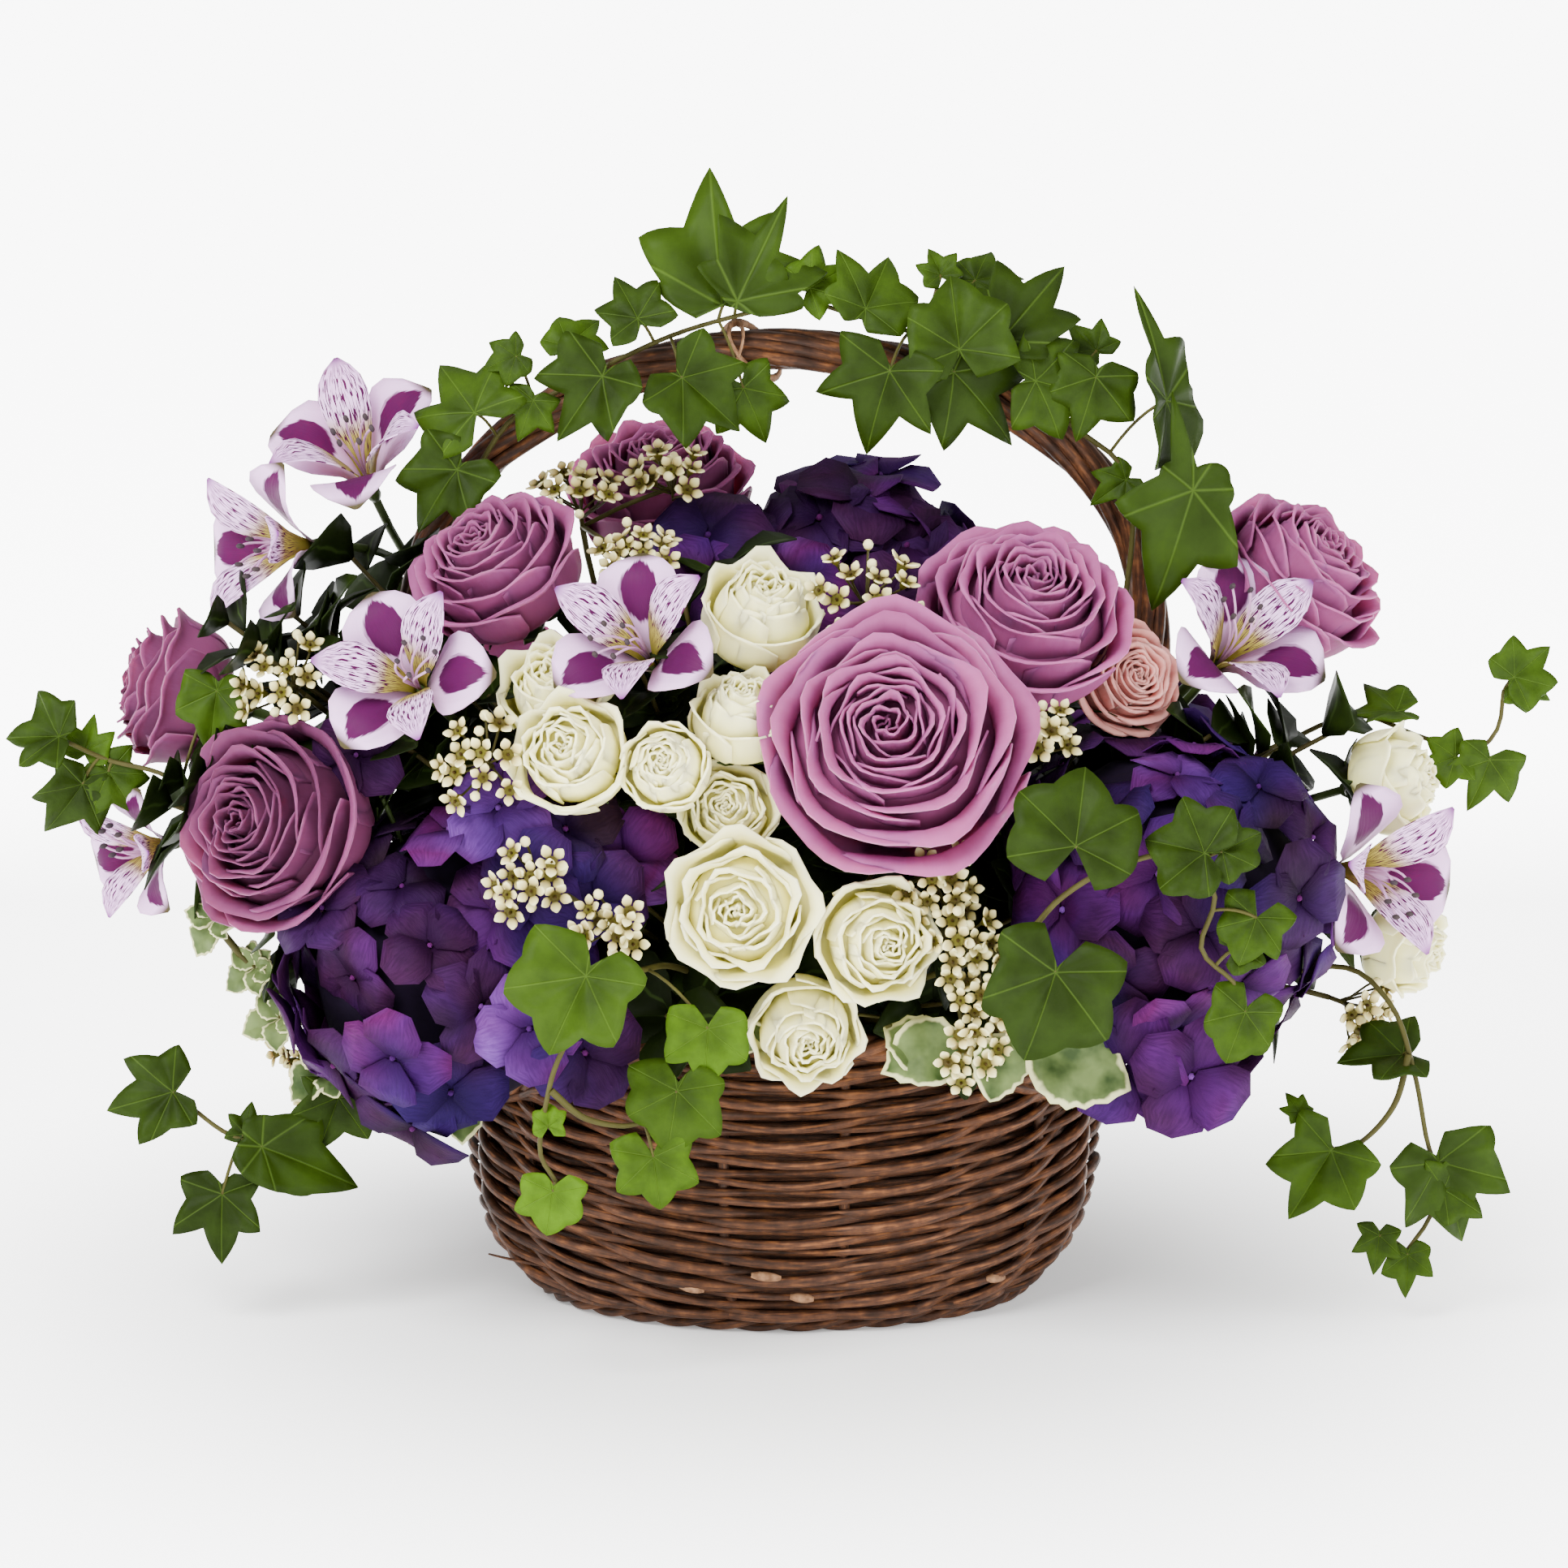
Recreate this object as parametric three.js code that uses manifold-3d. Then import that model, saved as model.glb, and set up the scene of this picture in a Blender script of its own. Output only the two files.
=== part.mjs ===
// Flower basket arrangement: an oval willow basket with a hoop handle, filled with cut
// roses, spray roses, hydrangea, alstroemeria, waxflower and trailing ivy.
// Millimetres. X runs along the basket, Y away from the viewer, Z up. The origin is the
// centre of the base's underside. A direction is written as azimuth and elevation in
// degrees: azimuth 0 faces the viewer, 90 faces +X, 180 faces away.

import * as THREE from 'three';
import { mergeVertices } from 'three/addons/utils/BufferGeometryUtils.js';
import Module from 'manifold-3d';

const wasm = await Module();
wasm.setup();

// ---- driving dimensions --------------------------------------------------------------

const CLEARANCE = 0.35;                 // air kept between neighbouring pieces
const SIMPLIFY_TOLERANCE = 0.004;       // how far a cut piece may stray when it is thinned
const WELD_DISTANCE = 1e-4;             // points closer than this are one point

const BASKET_DEPTH_SHARE = 0.745;       // depth of the oval over its width
const WALL_THICKNESS = 6;
const WALL_PROFILE = [[0, 84], [8, 93], [20, 102.5], [35, 108], [52, 110], [110, 110.5]];
const RIM_END_HEIGHT = 66;              // wall height at the ends of the oval
const RIM_MIDDLE_RISE = 35;             // how much higher the wall is at front and back
const RIM_RISE_POWER = 1.6;
const WEAVE_ROWS = 9;
const WEAVE_COLUMNS = 36;
const WEAVE_CYCLES = 9;                 // eighteen stakes, rods passing over every second
const WEAVE_DEPTH = 1.5;
const ROW_CREST = 1.5;
const GUARD_ROWS = 3;                   // rows of the plain wall that others are cut by
const RIM_ROLL_RADIUS = 4.2;
const RIM_SIDES = 4;
const RIM_TWIST_COLUMNS = 9;            // columns in which the section turns by a corner
const RIM_FLAT = 0.86;                  // reach of every second corner of the section
const INSIDE_LEVELS = [1, 0.3, 0.08, 0];   // rings of the wall's inside, as shares of its height

const BASE_THICKNESS = 6;
const BASE_WIDTH_LOW = 75;              // half widths of the oval bottom
const BASE_WIDTH_HIGH = 82;
const OVAL_SIDES = 24;

const LINER_WIDTH = 73.4;
const LINER_WALL = 1.5;
const LINER_FLOOR = 6.4;
const LINER_TOP = 60;
const FOAM_WIDTH = 71;
const FOAM_FLOOR = 8.2;
const FOAM_TOP = 130;
const FOAM_CHAMFER = 12;

const HANDLE_LEG = [[82.4, 14], [93.4, 60], [99, 88], [112, 135], [124, 190], [128, 235]];
const HANDLE_HALF_WIDTH = 128;
const HANDLE_ARCH_START = 240;
const HANDLE_ARCH_RISE = 94;
const HANDLE_ARCH_POINTS = 9;
const HANDLE_RADIUS = 8;
const HANDLE_RODS = 4;
const HANDLE_STEPS = 34;
const HANDLE_TURNS = 5;
const HANDLE_GROOVE = 0.84;             // section radius between two rods

const STEM_HEART = new THREE.Vector3(0, 0, 95);   // where the stems would meet in the foam
const STEM_ROOT_RADIUS = 22;
const LEAVING_REACH = 0.45;             // share of a stem's reach that it keeps its first aim
const FORK_REACH = 0.4;                 // the same for a branch that leaves a fork
const ARRIVING_REACH = 0.35;            // share of the reach that it comes in along the bloom
const ROSE_STEM_RADIUS = 2.2;
const ROSE_STEM_STEPS = 4;
const HYDRANGEA_STEM_SIDES = 5;
const HYDRANGEA_STEM_STEPS = 2;
const SPRAY_STEM_RADIUS = 1.5;
const SPRAY_STEM_SIDES = 4;
const SPRAY_STEM_STEPS = 4;
const BRANCH_STEPS = 2;
const TWIG_RADIUS = 1.1;
const TWIG_SIDES = 3;
const VINE_RADIUS = 1.2;
const VINE_SIDES = 4;
const VINE_STEP = 30;                   // length of a straight piece of vine
const LEAF_THICKNESS = 1.4;
const TIP_SHARE = 0.9;                  // leaves spring from this far along a run at most
const STALK_RADIUS = 0.9;
const STALK_NECK = 1.4;                 // depth of the stalk's neck under the blade

const Z_AXIS = new THREE.Vector3(0, 0, 1);
const STEEP = 0.95;                     // an axis this near to upright is turned about Y

// ---- finishes ------------------------------------------------------------------------

const WILLOW = { color: 0x5a3826, roughness: 0.72 };
const LAVENDER = { color: 0xb678a6, roughness: 0.65 };
const CREAM_WHITE = { color: 0xf0ecd6, roughness: 0.6 };
const VIOLET = { color: 0x51307f, roughness: 0.7 };
const STREAKED_WHITE = { color: 0xe6d3e2, roughness: 0.55 };
const WAX_CREAM = { color: 0xe9e2bd, roughness: 0.5 };
const IVY_GREEN = { color: 0x3f6b2a, roughness: 0.45 };
const STEM_GREEN = { color: 0x5c7f3c, roughness: 0.6 };
const FOAM_GREEN = { color: 0x2f5a3a, roughness: 0.95 };
const LINER_GREEN = { color: 0x24402c, roughness: 0.5 };
const CREAM_EDGED_GREEN = { color: 0x8aa568, roughness: 0.5 };

// ---- small helpers -------------------------------------------------------------------

const vector = ([x, y, z]) => new THREE.Vector3(x, y, z);
const radians = THREE.MathUtils.degToRad;
const mix = THREE.MathUtils.lerp;

function direction(azimuth, elevation) {
  const a = radians(azimuth);
  const e = radians(elevation);
  return new THREE.Vector3(Math.sin(a) * Math.cos(e), -Math.cos(a) * Math.cos(e), Math.sin(e));
}

const DRAW_FACTOR = 48271;
const DRAW_MODULUS = 2147483647;
const DRAW_SEED_FACTOR = 7919;

/** Repeatable random numbers from -1 to 1, each the remainder of a multiple of the last. */
function seededDraw(seed) {
  let state = seed * DRAW_SEED_FACTOR;
  return () => {
    state = (state * DRAW_FACTOR) % DRAW_MODULUS;
    return (state / DRAW_MODULUS) * 2 - 1;
  };
}

/** The solid inside a closed geometry, with its faces turned outward. */
function solidOf(geometry) {
  geometry.deleteAttribute('normal');
  geometry.deleteAttribute('uv');
  const merged = mergeVertices(geometry, WELD_DISTANCE);
  const vertProperties = new Float32Array(merged.attributes.position.array);
  const triVerts = new Uint32Array(merged.index.array);
  let solid = new wasm.Manifold(new wasm.Mesh({ numProp: 3, vertProperties, triVerts }));
  if (solid.volume() < 0) {
    for (let i = 0; i < triVerts.length; i += 3) {
      [triVerts[i + 1], triVerts[i + 2]] = [triVerts[i + 2], triVerts[i + 1]];
    }
    solid = new wasm.Manifold(new wasm.Mesh({ numProp: 3, vertProperties, triVerts }));
  }
  return solid;
}

/** A closed skin over rings of points. A ring of one point closes an end as a pole. */
function skin(rings, looped = false) {
  const positions = [];
  const starts = [];
  for (const ring of rings) {
    starts.push(positions.length / 3);
    ring.forEach((point) => positions.push(point.x, point.y, point.z));
  }
  const index = [];
  const bands = looped ? rings.length : rings.length - 1;
  for (let band = 0; band < bands; band++) {
    const next = (band + 1) % rings.length;
    const near = rings[band].length;
    const far = rings[next].length;
    const most = Math.max(near, far);
    const shared = (i, count) => Math.floor((i * count) / most) % count;
    for (let i = 0; i < most; i++) {
      const a = starts[band] + shared(i, near);
      const b = starts[band] + shared(i + 1, near);
      const c = starts[next] + shared(i + 1, far);
      const d = starts[next] + shared(i, far);
      if (a !== b) index.push(a, b, c);
      if (c !== d) index.push(a, c, d);
    }
  }
  const geometry = new THREE.BufferGeometry();
  geometry.setAttribute('position', new THREE.Float32BufferAttribute(positions, 3));
  geometry.setIndex(index);
  return solidOf(geometry);
}

/** A round tube along a curve. */
function tube(curve, radius, sides, steps) {
  const corners = [];
  for (let i = 0; i < sides; i++) {
    const angle = (2 * Math.PI * i) / sides;
    corners.push(new THREE.Vector2(radius * Math.cos(angle), radius * Math.sin(angle)));
  }
  const section = new THREE.Shape(corners);
  const sweep = { steps, extrudePath: curve, bevelEnabled: false };
  return solidOf(new THREE.ExtrudeGeometry(section, sweep));
}

/** Polar coordinates about an axis: gives the point at a radius, an angle and a height. */
function polarPlace(centre, axis, spin = 0) {
  const upright = Math.abs(axis.z) > STEEP ? new THREE.Vector3(0, 1, 0) : Z_AXIS;
  const right = upright.clone().cross(axis).normalize();
  const up = axis.clone().cross(right);
  return (radius, angle, height) => centre.clone()
    .addScaledVector(right, radius * Math.cos(angle + spin))
    .addScaledVector(up, radius * Math.sin(angle + spin))
    .addScaledVector(axis, height);
}

/** The thin edge of a blade: one ring of points, or two where a margin thickens it. */
function bladeEdge(margin, ringAt) {
  return margin > 0 ? [ringAt(-margin), ringAt(margin)] : [ringAt(0)];
}

function union(solids) {
  return solids.length === 1 ? solids[0] : wasm.Manifold.union(solids);
}

// ---- holder --------------------------------------------------------------------------

const ovalAngle = (column, columns) => (2 * Math.PI * column) / columns;

function wallTop(angle) {
  const rise = Math.pow(Math.abs(Math.sin(angle)), RIM_RISE_POWER);
  return RIM_END_HEIGHT + RIM_MIDDLE_RISE * rise;
}

/** Half width of the wall's outside at a height, straight between the profile's points. */
function wallHalfWidth(height) {
  let low = WALL_PROFILE[0];
  if (height <= 0) return low[1];
  for (const high of WALL_PROFILE.slice(1)) {
    if (height <= high[0]) {
      return mix(low[1], high[1], (height - low[0]) / (high[0] - low[0]));
    }
    low = high;
  }
  return low[1];
}

/** A point of the wall at an oval angle and height, moved out from the surface. */
function wallPoint(angle, height, outward) {
  const halfWidth = wallHalfWidth(height);
  return new THREE.Vector3(
    (halfWidth + outward) * Math.cos(angle),
    (halfWidth * BASKET_DEPTH_SHARE + outward) * Math.sin(angle),
    height,
  );
}

/** The woven wall: rows of rods over and under the stakes, rising with the border. */
function basketBody(margin) {
  const rings = [];
  const plain = margin > 0;
  const levels = 2 * (plain ? GUARD_ROWS : WEAVE_ROWS);
  for (let level = 0; level <= levels; level++) {
    const ring = [];
    const row = Math.floor(level / 2);
    for (let column = 0; column < WEAVE_COLUMNS; column++) {
      const angle = ovalAngle(column, WEAVE_COLUMNS);
      const height = mix(-margin, wallTop(angle) + margin, level / levels);
      const wave = Math.cos(WEAVE_CYCLES * angle + Math.PI * row);
      const relief = level % 2 === 1 ? ROW_CREST + WEAVE_DEPTH * wave : 0;
      const crest = plain ? ROW_CREST + WEAVE_DEPTH : relief;
      ring.push(wallPoint(angle, height, crest + margin));
    }
    rings.push(ring);
  }
  for (const share of INSIDE_LEVELS) {
    const ring = [];
    for (let column = 0; column < WEAVE_COLUMNS; column++) {
      const angle = ovalAngle(column, WEAVE_COLUMNS);
      const height = mix(-margin, wallTop(angle) + margin, share);
      ring.push(wallPoint(angle, height, -WALL_THICKNESS - margin));
    }
    rings.push(ring);
  }
  return skin(rings, true);
}

/** The border on the wall's top: a roll whose section turns, as twisted rods do. */
function basketRim(margin) {
  const rings = [];
  for (let column = 0; column < WEAVE_COLUMNS; column++) {
    const angle = ovalAngle(column, WEAVE_COLUMNS);
    const height = wallTop(angle) + RIM_ROLL_RADIUS + 2 * CLEARANCE;
    const middle = wallPoint(angle, height, -WALL_THICKNESS / 2 + ROW_CREST);
    const outward = new THREE.Vector3(Math.cos(angle), Math.sin(angle), 0);
    const ring = [];
    for (let side = 0; side < RIM_SIDES; side++) {
      const turn = (2 * Math.PI * (side + column / RIM_TWIST_COLUMNS)) / RIM_SIDES;
      const radius = RIM_ROLL_RADIUS * (side % 2 ? RIM_FLAT : 1) + margin;
      ring.push(middle.clone()
        .addScaledVector(outward, radius * Math.cos(turn))
        .addScaledVector(Z_AXIS, radius * Math.sin(turn)));
    }
    rings.push(ring);
  }
  return skin(rings, true);
}

/** An oval solid from a profile of half widths and heights, turned and then narrowed. */
function ovalLathe(profile, margin) {
  const points = profile.map(([width, height, grow = 0]) =>
    new THREE.Vector2(Math.max(0, width + margin * Math.sign(width)), height + grow * margin));
  const geometry = new THREE.LatheGeometry(points, OVAL_SIDES);
  geometry.rotateX(Math.PI / 2);
  geometry.scale(1, BASKET_DEPTH_SHARE, 1);
  return solidOf(geometry);
}

const basketBase = (margin) => ovalLathe([
  [0, 0, -1],
  [BASE_WIDTH_LOW, 0, -1],
  [BASE_WIDTH_HIGH, BASE_THICKNESS, 1],
  [0, BASE_THICKNESS, 1],
], margin);

const liner = (margin) => ovalLathe([
  [0, LINER_FLOOR, -1],
  [LINER_WIDTH, LINER_FLOOR, -1],
  [LINER_WIDTH, LINER_TOP, 1],
  [LINER_WIDTH - LINER_WALL, LINER_TOP, 1],
  [LINER_WIDTH - LINER_WALL, LINER_FLOOR + LINER_WALL, 1],
  [0, LINER_FLOOR + LINER_WALL, 1],
], margin);

const foam = () => ovalLathe([
  [0, FOAM_FLOOR],
  [FOAM_WIDTH, FOAM_FLOOR],
  [FOAM_WIDTH, FOAM_TOP - FOAM_CHAMFER],
  [FOAM_WIDTH - FOAM_CHAMFER, FOAM_TOP],
  [0, FOAM_TOP],
], 0);

/** The handle's middle line: up the left leg, over the arch and down the right leg. */
function handleCurve() {
  const points = HANDLE_LEG.map(([x, z]) => new THREE.Vector3(-x, 0, z));
  for (let i = 1; i < HANDLE_ARCH_POINTS; i++) {
    const angle = Math.PI * (1 - i / HANDLE_ARCH_POINTS);
    points.push(new THREE.Vector3(
      HANDLE_HALF_WIDTH * Math.cos(angle),
      0,
      HANDLE_ARCH_START + HANDLE_ARCH_RISE * Math.sin(angle),
    ));
  }
  HANDLE_LEG.toReversed().forEach(([x, z]) => points.push(new THREE.Vector3(x, 0, z)));
  return new THREE.CatmullRomCurve3(points);
}

/** A bundle of rods: a lobed section that turns as it runs along the hoop. */
function handle(margin) {
  const curve = handleCurve();
  const across = new THREE.Vector3(0, 1, 0);
  const rings = [];
  for (let step = 0; step <= HANDLE_STEPS; step++) {
    const share = step / HANDLE_STEPS;
    const middle = curve.getPointAt(share);
    const side = across.clone().cross(curve.getTangentAt(share));
    const ring = [];
    for (let corner = 0; corner < 2 * HANDLE_RODS; corner++) {
      const turn = Math.PI * (corner / HANDLE_RODS + 2 * HANDLE_TURNS * share);
      const radius = HANDLE_RADIUS * (corner % 2 ? HANDLE_GROOVE : 1) + margin;
      ring.push(middle.clone()
        .addScaledVector(across, radius * Math.cos(turn))
        .addScaledVector(side, radius * Math.sin(turn)));
    }
    rings.push(ring);
  }
  return skin([[curve.getPointAt(0)], ...rings, [curve.getPointAt(1)]]);
}

// ---- stems ---------------------------------------------------------------------------

/**
 * A stem from the foam's heart, leaving it straight and arriving along the bloom's axis.
 * A sway moves its middle along Y, past the handle's leg.
 */
function stemCurve(end, axis, sway = 0) {
  const outward = end.clone().sub(STEM_HEART).normalize();
  const root = STEM_HEART.clone().addScaledVector(outward, STEM_ROOT_RADIUS);
  const reach = root.distanceTo(end);
  const leaving = root.clone().addScaledVector(outward, LEAVING_REACH * reach);
  const arriving = end.clone().addScaledVector(axis, -ARRIVING_REACH * reach);
  leaving.y += sway;
  arriving.y += sway;
  return new THREE.CubicBezierCurve3(root, leaving, arriving, end);
}

/** A branch that leaves a fork along one direction and arrives along another. */
function branchCurve(start, leavingAxis, end, axis) {
  const reach = start.distanceTo(end);
  const leaving = start.clone().addScaledVector(leavingAxis, FORK_REACH * reach);
  const arriving = end.clone().addScaledVector(axis, -ARRIVING_REACH * reach);
  return new THREE.CubicBezierCurve3(start, leaving, arriving, end);
}

// ---- roses ---------------------------------------------------------------------------

// Rings of a rose from the heart to the base: radius and height as shares of the bloom's
// radius, how far each petal's edge steps over the next, and the ring's turn in columns.
const ROSE_RINGS = [
  [0.15, 0.44, 0.30, 0],
  [0.27, 0.30, 0.12, 0],
  [0.42, 0.45, 0.24, 1],
  [0.54, 0.26, 0.10, 1],
  [0.74, 0.34, 0.18, 2],
  [1.00, 0.10, 0.14, 0],
  [0.72, -0.45, 0.04, 0],
  [0.22, -0.80, 0, 0],
];
const SPRAY_ROSE_RINGS = [
  [0.26, 0.50, 0.34, 0],
  [0.42, 0.32, 0.12, 0],
  [0.68, 0.46, 0.22, 1],
  [1.00, 0.14, 0.16, 0],
  [0.70, -0.44, 0, 0],
  [0.24, -0.80, 0, 0],
];
const PETALS_A_RING = 5;
const COLUMNS_A_PETAL = 3;
const SPRAY_PETALS_A_RING = 4;
const SPRAY_COLUMNS_A_PETAL = 2;
// Heights along a bloom's axis and radii of the calyx, as shares of the bloom's radius.
const ROSE_HEART_HEIGHT = 0.34;
const ROSE_BASE_HEIGHT = -0.82;
const CALYX_EDGE_HEIGHT = -0.88;
const CALYX_FOOT = -1.12;
const CALYX_TIP_RADIUS = 0.6;
const CALYX_NOTCH_RADIUS = 0.24;
const SPRAY_HEAD_FOOT = -0.98;

/** Rings of petals about a bloom's axis, each petal's edge standing out over the next. */
function petalRings(bloom, rows, petals, columnsAPetal, margin) {
  const at = polarPlace(bloom.centre, bloom.axis, bloom.spin);
  const reach = bloom.size / 2;
  const columns = petals * columnsAPetal;
  return rows.map(([radius, height, step, turn]) => {
    const ring = [];
    for (let column = 0; column < columns; column++) {
      const place = ((column + turn) % columnsAPetal) / (columnsAPetal - 1) - 0.5;
      const out = reach * radius * (1 + step * place) + margin;
      const up = reach * height + Math.sign(height) * margin;
      ring.push(at(out, (2 * Math.PI * column) / columns, up));
    }
    return ring;
  });
}

/** A rose head, closed behind by a low cone. */
function roseHead(bloom, margin) {
  const heart = along(bloom, ROSE_HEART_HEIGHT, margin);
  const base = along(bloom, ROSE_BASE_HEIGHT, -margin);
  const rings = petalRings(bloom, ROSE_RINGS, PETALS_A_RING, COLUMNS_A_PETAL, margin);
  return skin([[heart], ...rings, [base]]);
}

/** The point on a bloom's axis at a height, a share of its radius, and a further margin. */
function along(bloom, height, margin) {
  const reach = bloom.size / 2;
  return bloom.centre.clone().addScaledVector(bloom.axis, reach * height + margin);
}

/** A stem's closed foot and rings of corners, ready to carry on into another shape. */
function stemRings(curve, radius, sides, steps, margin) {
  const frames = curve.computeFrenetFrames(steps, false);
  const rings = [];
  for (let step = 0; step <= steps; step++) {
    const middle = curve.getPointAt(step / steps);
    if (step === 0) middle.addScaledVector(frames.tangents[0], -margin);
    const ring = [];
    for (let i = 0; i < sides; i++) {
      const angle = (2 * Math.PI * i) / sides;
      ring.push(middle.clone()
        .addScaledVector(frames.normals[step], (radius + margin) * Math.cos(angle))
        .addScaledVector(frames.binormals[step], (radius + margin) * Math.sin(angle)));
    }
    if (step === 0) rings.push([middle]);
    rings.push(ring);
  }
  return rings;
}

/** The number of the ring's corner that lies nearest a point. */
function nearestCorner(ring, target) {
  let first = 0;
  ring.forEach((corner, i) => {
    if (corner.distanceTo(target) < ring[first].distanceTo(target)) first = i;
  });
  return first;
}

/** A ring with its corners numbered from the one nearest a point. */
function startNear(ring, target) {
  const first = nearestCorner(ring, target);
  return ring.map((_, i) => ring[(first + i) % ring.length]);
}

/** The stem of a rose, which widens into the green calyx under the petals. */
function roseStem(bloom, margin) {
  const reach = bloom.size / 2;
  const at = polarPlace(bloom.centre, bloom.axis, bloom.spin);
  const curve = stemCurve(along(bloom, CALYX_FOOT, 0), bloom.axis, bloom.sway);
  const rings = stemRings(curve, bloom.stem, PETALS_A_RING, ROSE_STEM_STEPS, margin);
  const calyx = bladeEdge(margin, (height) => {
    const ring = [];
    for (let i = 0; i < 2 * PETALS_A_RING; i++) {
      const radius = reach * (i % 2 ? CALYX_NOTCH_RADIUS : CALYX_TIP_RADIUS) + margin;
      ring.push(at(radius, (Math.PI * i) / PETALS_A_RING, CALYX_EDGE_HEIGHT * reach + height));
    }
    return startNear(ring, rings[rings.length - 1][0]);
  });
  const seat = along(bloom, ROSE_BASE_HEIGHT, margin - CLEARANCE);
  return skin([...rings, ...calyx, [seat]]);
}

/** One small rose of a spray with its stalk, in one skin from the stalk's foot. */
function stalkedRose(bloom, curve, steps, margin) {
  const stalk = stemRings(curve, SPRAY_STEM_RADIUS, SPRAY_STEM_SIDES, steps, margin);
  const columns = [SPRAY_PETALS_A_RING, SPRAY_COLUMNS_A_PETAL];
  const rings = petalRings(bloom, SPRAY_ROSE_RINGS, ...columns, margin).reverse();
  const shift = nearestCorner(rings[0], stalk[stalk.length - 1][0]);
  const turned = rings.map((ring) => ring.map((_, i) => ring[(shift + i) % ring.length]));
  const heart = along(bloom, ROSE_HEART_HEIGHT, margin);
  return skin([...stalk, ...turned, [heart]]);
}

/** A spray of small roses: the first head ends the stem, the others branch off it. */
function sprayOfRoses(spray, margin) {
  const [first, ...others] = spray.blooms;
  const stem = stemCurve(along(first, SPRAY_HEAD_FOOT, 0), first.axis, spray.sway);
  const joints = stem.getSpacedPoints(SPRAY_STEM_STEPS);
  const solids = [stalkedRose(first, stem, SPRAY_STEM_STEPS, margin)];
  others.forEach((bloom, i) => {
    const fork = joints[1 + i];
    const leaving = joints[2 + i].clone().sub(fork).normalize();
    const branch = branchCurve(fork, leaving, along(bloom, SPRAY_HEAD_FOOT, 0), bloom.axis);
    solids.push(stalkedRose(bloom, branch, BRANCH_STEPS, margin));
  });
  return union(solids);
}

// ---- hydrangea -----------------------------------------------------------------------

const FLORET_SEPALS = 4;
// A floret's neck, the notch between two sepals, the fall of a sepal's tip and the rise of
// the middle, as shares of the floret's radius.
const FLORET_NECK = 0.2;
const FLORET_NOTCH = 0.5;
const FLORET_TIP_FALL = 0.12;
const FLORET_MIDDLE_RISE = 0.06;
// Shares of the head's radius: the core, the florets' places and roots, and their scatter.
const CORE_REACH = 0.86;
const FLORET_PLACE = 0.95;
const FLORET_ROOT = 0.4;
const FLORET_SCATTER = 0.04;
const FLORET_LEAN = 0.18;
const GOLDEN_ANGLE = Math.PI * (3 - Math.sqrt(5));

/** A floret: four sepals spread over a narrow neck that is rooted in the head's core. */
function floret(at, size, depth, margin) {
  const angles = [...Array(2 * FLORET_SEPALS).keys()].map((i) => (Math.PI * i) / FLORET_SEPALS);
  const isLobe = (i) => i % 2 === 0;
  const low = FLORET_NECK * size + margin;
  const neck = angles.filter((_, i) => isLobe(i)).map((angle) => at(low, angle, -low));
  const edge = bladeEdge(margin, (height) => angles.map((angle, i) => (isLobe(i)
    ? at(size + margin, angle, height - FLORET_TIP_FALL * size)
    : at(FLORET_NOTCH * size + margin, angle, height))));
  const top = at(0, 0, FLORET_MIDDLE_RISE * size + margin);
  return skin([[at(0, 0, -depth - margin)], neck, ...edge, [top]]);
}

/**
 * A hydrangea head on its stem: four-sepalled florets standing out of a smaller core, on
 * the side away from the basket's middle.
 */
function hydrangea(head, margin) {
  const draw = seededDraw(head.seed);
  const core = new THREE.IcosahedronGeometry(CORE_REACH * head.radius + margin, 0);
  core.translate(head.centre.x, head.centre.y, head.centre.z);
  const solids = [solidOf(core)];
  const inward = STEM_HEART.clone().sub(head.centre).normalize();
  for (let i = 0; i < head.florets; i++) {
    const height = 1 - (2 * i + 1) / head.florets;
    const around = GOLDEN_ANGLE * i + head.seed;
    const flat = Math.sqrt(1 - height * height);
    const spot = new THREE.Vector3(flat * Math.cos(around), flat * Math.sin(around), height);
    if (spot.dot(inward) > 0) continue;
    const lean = new THREE.Vector3(draw(), draw(), draw()).multiplyScalar(FLORET_LEAN);
    const axis = spot.clone().add(lean).normalize();
    const place = head.radius * (FLORET_PLACE + FLORET_SCATTER * draw());
    const centre = head.centre.clone().addScaledVector(spot, place);
    const at = polarPlace(centre, axis, draw() * Math.PI);
    solids.push(floret(at, head.floret / 2, FLORET_ROOT * head.radius, margin));
  }
  const curve = stemCurve(head.centre, inward.clone().negate());
  solids.push(tube(curve, ROSE_STEM_RADIUS + margin, HYDRANGEA_STEM_SIDES, HYDRANGEA_STEM_STEPS));
  return union(solids);
}

// ---- alstroemeria --------------------------------------------------------------------

// Rings of an open flower from the outside of its throat to the inside: radius and height
// as shares of the flower's radius.
const THROAT_RINGS = [[0.15, -0.42], [0.38, 0.08]];
const INNER_THROAT_RING = [0.35, 0.15];
const THROAT_ROOT = -0.66;
const THROAT_FLOOR = -0.40;
// One outer and one inner petal along the flower's edge: radius and height as shares of
// the flower's radius, and the angle in degrees. The flower has three such pairs.
const PETAL_PAIR = [
  [1.06, 0.04, 0],
  [0.84, 0.15, 17],
  [0.45, 0.14, 30],
  [0.76, 0.42, 48],
  [0.96, 0.46, 60],
  [0.76, 0.42, 72],
  [0.45, 0.14, 90],
  [0.84, 0.15, 103],
];
const PETAL_EDGE = [0, 120, 240].flatMap((turn) =>
  PETAL_PAIR.map(([radius, height, degrees]) => [radius, height, degrees + turn]));
const PETALS = 6;
const SECOND_FLOWER_JOINT = 3;
const SECOND_STALK_STEPS = 3;

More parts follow.
